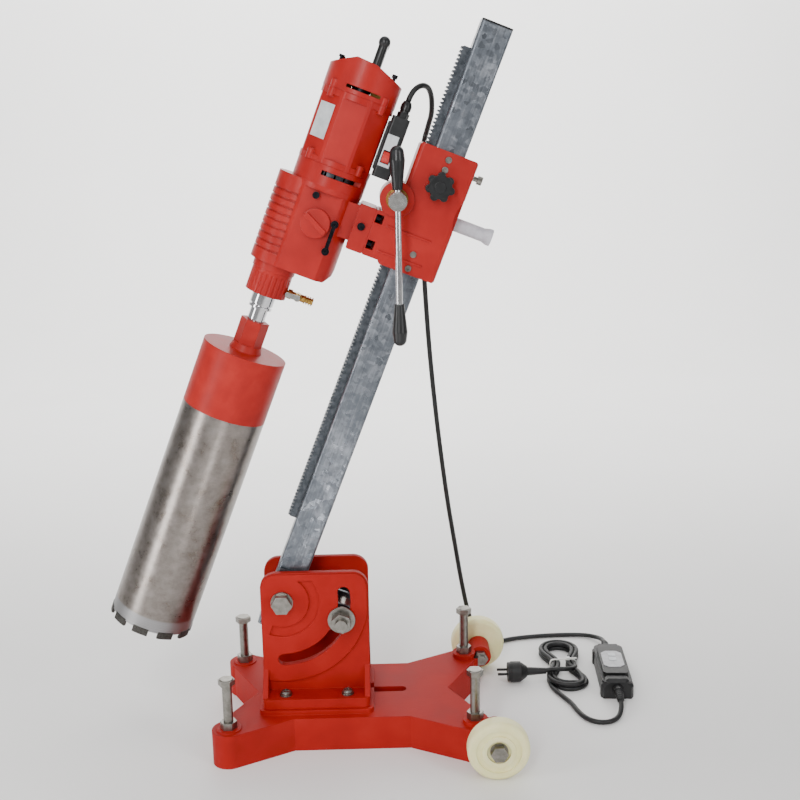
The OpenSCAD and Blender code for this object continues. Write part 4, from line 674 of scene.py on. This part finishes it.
slotMaterials = {
    "red_casting": "enamelCastIron", "red_alloy": "enamelDieCast", "red_steel": "enamelSteel",
    "zinc_steel": "zincPlatedSteel", "galvanised": "galvanisedTube", "dark_steel": "rolledDarkSteel",
    "black_steel": "blackOxideSteel", "bright_steel": "groundBrightSteel", "chrome_rod": "chromedRod",
    "brushed_tube": "beltBrushedTube", "segment": "sinteredSegment", "ivory_nylon": "castNylon",
    "grey_plastic": "mouldedGreyNylon", "black_plastic": "mouldedBlackNylon", "white_plate": "enamelledPlate",
    "red_rocker": "redRockerAbs", "bronze": "castBronze", "copper": "enamelledCopper", "brass": "turnedBrass",
    "black_rubber": "rubberSheath",
}
nodeMaterials = {"prcd_case": "mouldedRubberCase"}
nodeSlots = {}
for item in frame["record"]["subparts"]:
    nodeSlots[item["node"]] = item["material_slot"]
for name, shape in frame["nodes"].items():
    chosen = made[nodeMaterials.get(name, slotMaterials[nodeSlots[name]])]
    for holder in shape.material_slots:
        holder.link = "OBJECT"
        holder.material = chosen
    if not shape.material_slots:
        print("no slot on", name)
for piece, finish, slot in (
    (leadUpper, "rubberSheath", "black_rubber"), (leadLower, "rubberSheath", "black_rubber"),
    (leadTail, "rubberSheath", "black_rubber"), (reliefFar, "rubberSheath", "black_rubber"),
    (reliefNear, "rubberSheath", "black_rubber"), (cableTie, "whiteTieNylon", "ivory_nylon"),
    (switchLabel, "silverFilm", "white_plate"), (endCaps[0], "mouldedRubberCase", "black_rubber"),
    (endCaps[1], "mouldedRubberCase", "black_rubber"),
):
    piece.data.materials.append(made[finish])
print("finishes set")

# ---- studio
studioSettings = {
    "floor": "#F4F3F2", "world": "#FFFFFF", "worldStrength": 0.40,
    "floorFront": -5.0, "wallFoot": 2.6, "sweep": 1.4, "wallTop": 4.5, "halfWidth": 7.0,
    "lights": {   # place, aim, width, height, watts
        "keyStrip": ((-0.55, -2.4, 1.8), (-0.1, 0.0, 0.5), 0.34, 2.0, 44),
        "bitStrip": ((-1.15, -0.72, 0.56), (-0.2, 0.0, 0.38), 0.25, 1.0, 7.5),
               # the long highlight down the bit
        "floorStrip": ((-0.08, -1.06, 0.006), (-0.08, -1.02, 1.0), 0.13, 1.15, 3.0),
        "leftSoft": ((-2.2, -1.4, 1.9), (-0.1, 0.0, 0.5), 1.2, 1.2, 4),
        "fillStrip": ((1.9, -1.9, 1.4), (0.1, 0.0, 0.5), 0.5, 1.8, 22),
        "top": ((0.1, -0.1, 2.9), (0.0, 0.0, 0.3), 2.2, 1.6, 15),
        "wallWash": ((0.0, 1.3, 3.2), (0.0, 4.2, 1.9), 5.0, 0.8, 380),
    },
}


def addStudio(s):
    # floor and wall in one sheet with a round sweep between them
    profile = [(s["floorFront"], 0.0), (0.0, 0.0), (s["wallFoot"], 0.0)]
    steps = 16
    for k in range(1, steps + 1):
        turn = math.pi / 2 * k / steps
        profile.append((s["wallFoot"] + s["sweep"] * math.sin(turn), s["sweep"] * (1 - math.cos(turn))))
    profile.append((s["wallFoot"] + s["sweep"], s["wallTop"]))
    verts = [(x, y, z) for y, z in profile for x in (-s["halfWidth"], s["halfWidth"])]
    faces = [(2 * k, 2 * k + 1, 2 * k + 3, 2 * k + 2) for k in range(len(profile) - 1)]
    floor = newPiece("floor", verts, faces)
    material, tree = newMaterial("matteFloor")
    place = addNode(tree, "TexCoord")
    noise = addNode(tree, "TexNoise", {"Scale": 3.0, "Detail": 2.0}, {"Vector": (place, "Object")})
    colour = rampNode(tree, [(0.0, "#EFEEEC"), (1.0, s["floor"])], noise)
    shader = addNode(tree, "BsdfPrincipled", {"Roughness": 0.8}, {"Base Color": (colour, "Color")})
    finishMaterial(tree, shader)
    floor.data.materials.append(material)
    world = bpy.data.worlds.new("studio")
    bpy.context.scene.world = world
    world.use_nodes = True
    back = world.node_tree.nodes["Background"]
    back.inputs["Color"].default_value = linear(s["world"])
    back.inputs["Strength"].default_value = s["worldStrength"]
    for name, (place, aim, width, height, watts) in s["lights"].items():
        lamp = bpy.data.objects.new(name, bpy.data.lights.new(name, "AREA"))
        lamp.data.shape = "RECTANGLE"
        lamp.data.size = width
        lamp.data.size_y = height
        lamp.data.energy = watts
        lamp.visible_camera = False
        lamp.location = place
        lamp.rotation_euler = (Vector(aim) - Vector(place)).to_track_quat("-Z", "Y").to_euler()
        bpy.context.scene.collection.objects.link(lamp)


addStudio(studioSettings)
print("studio done")
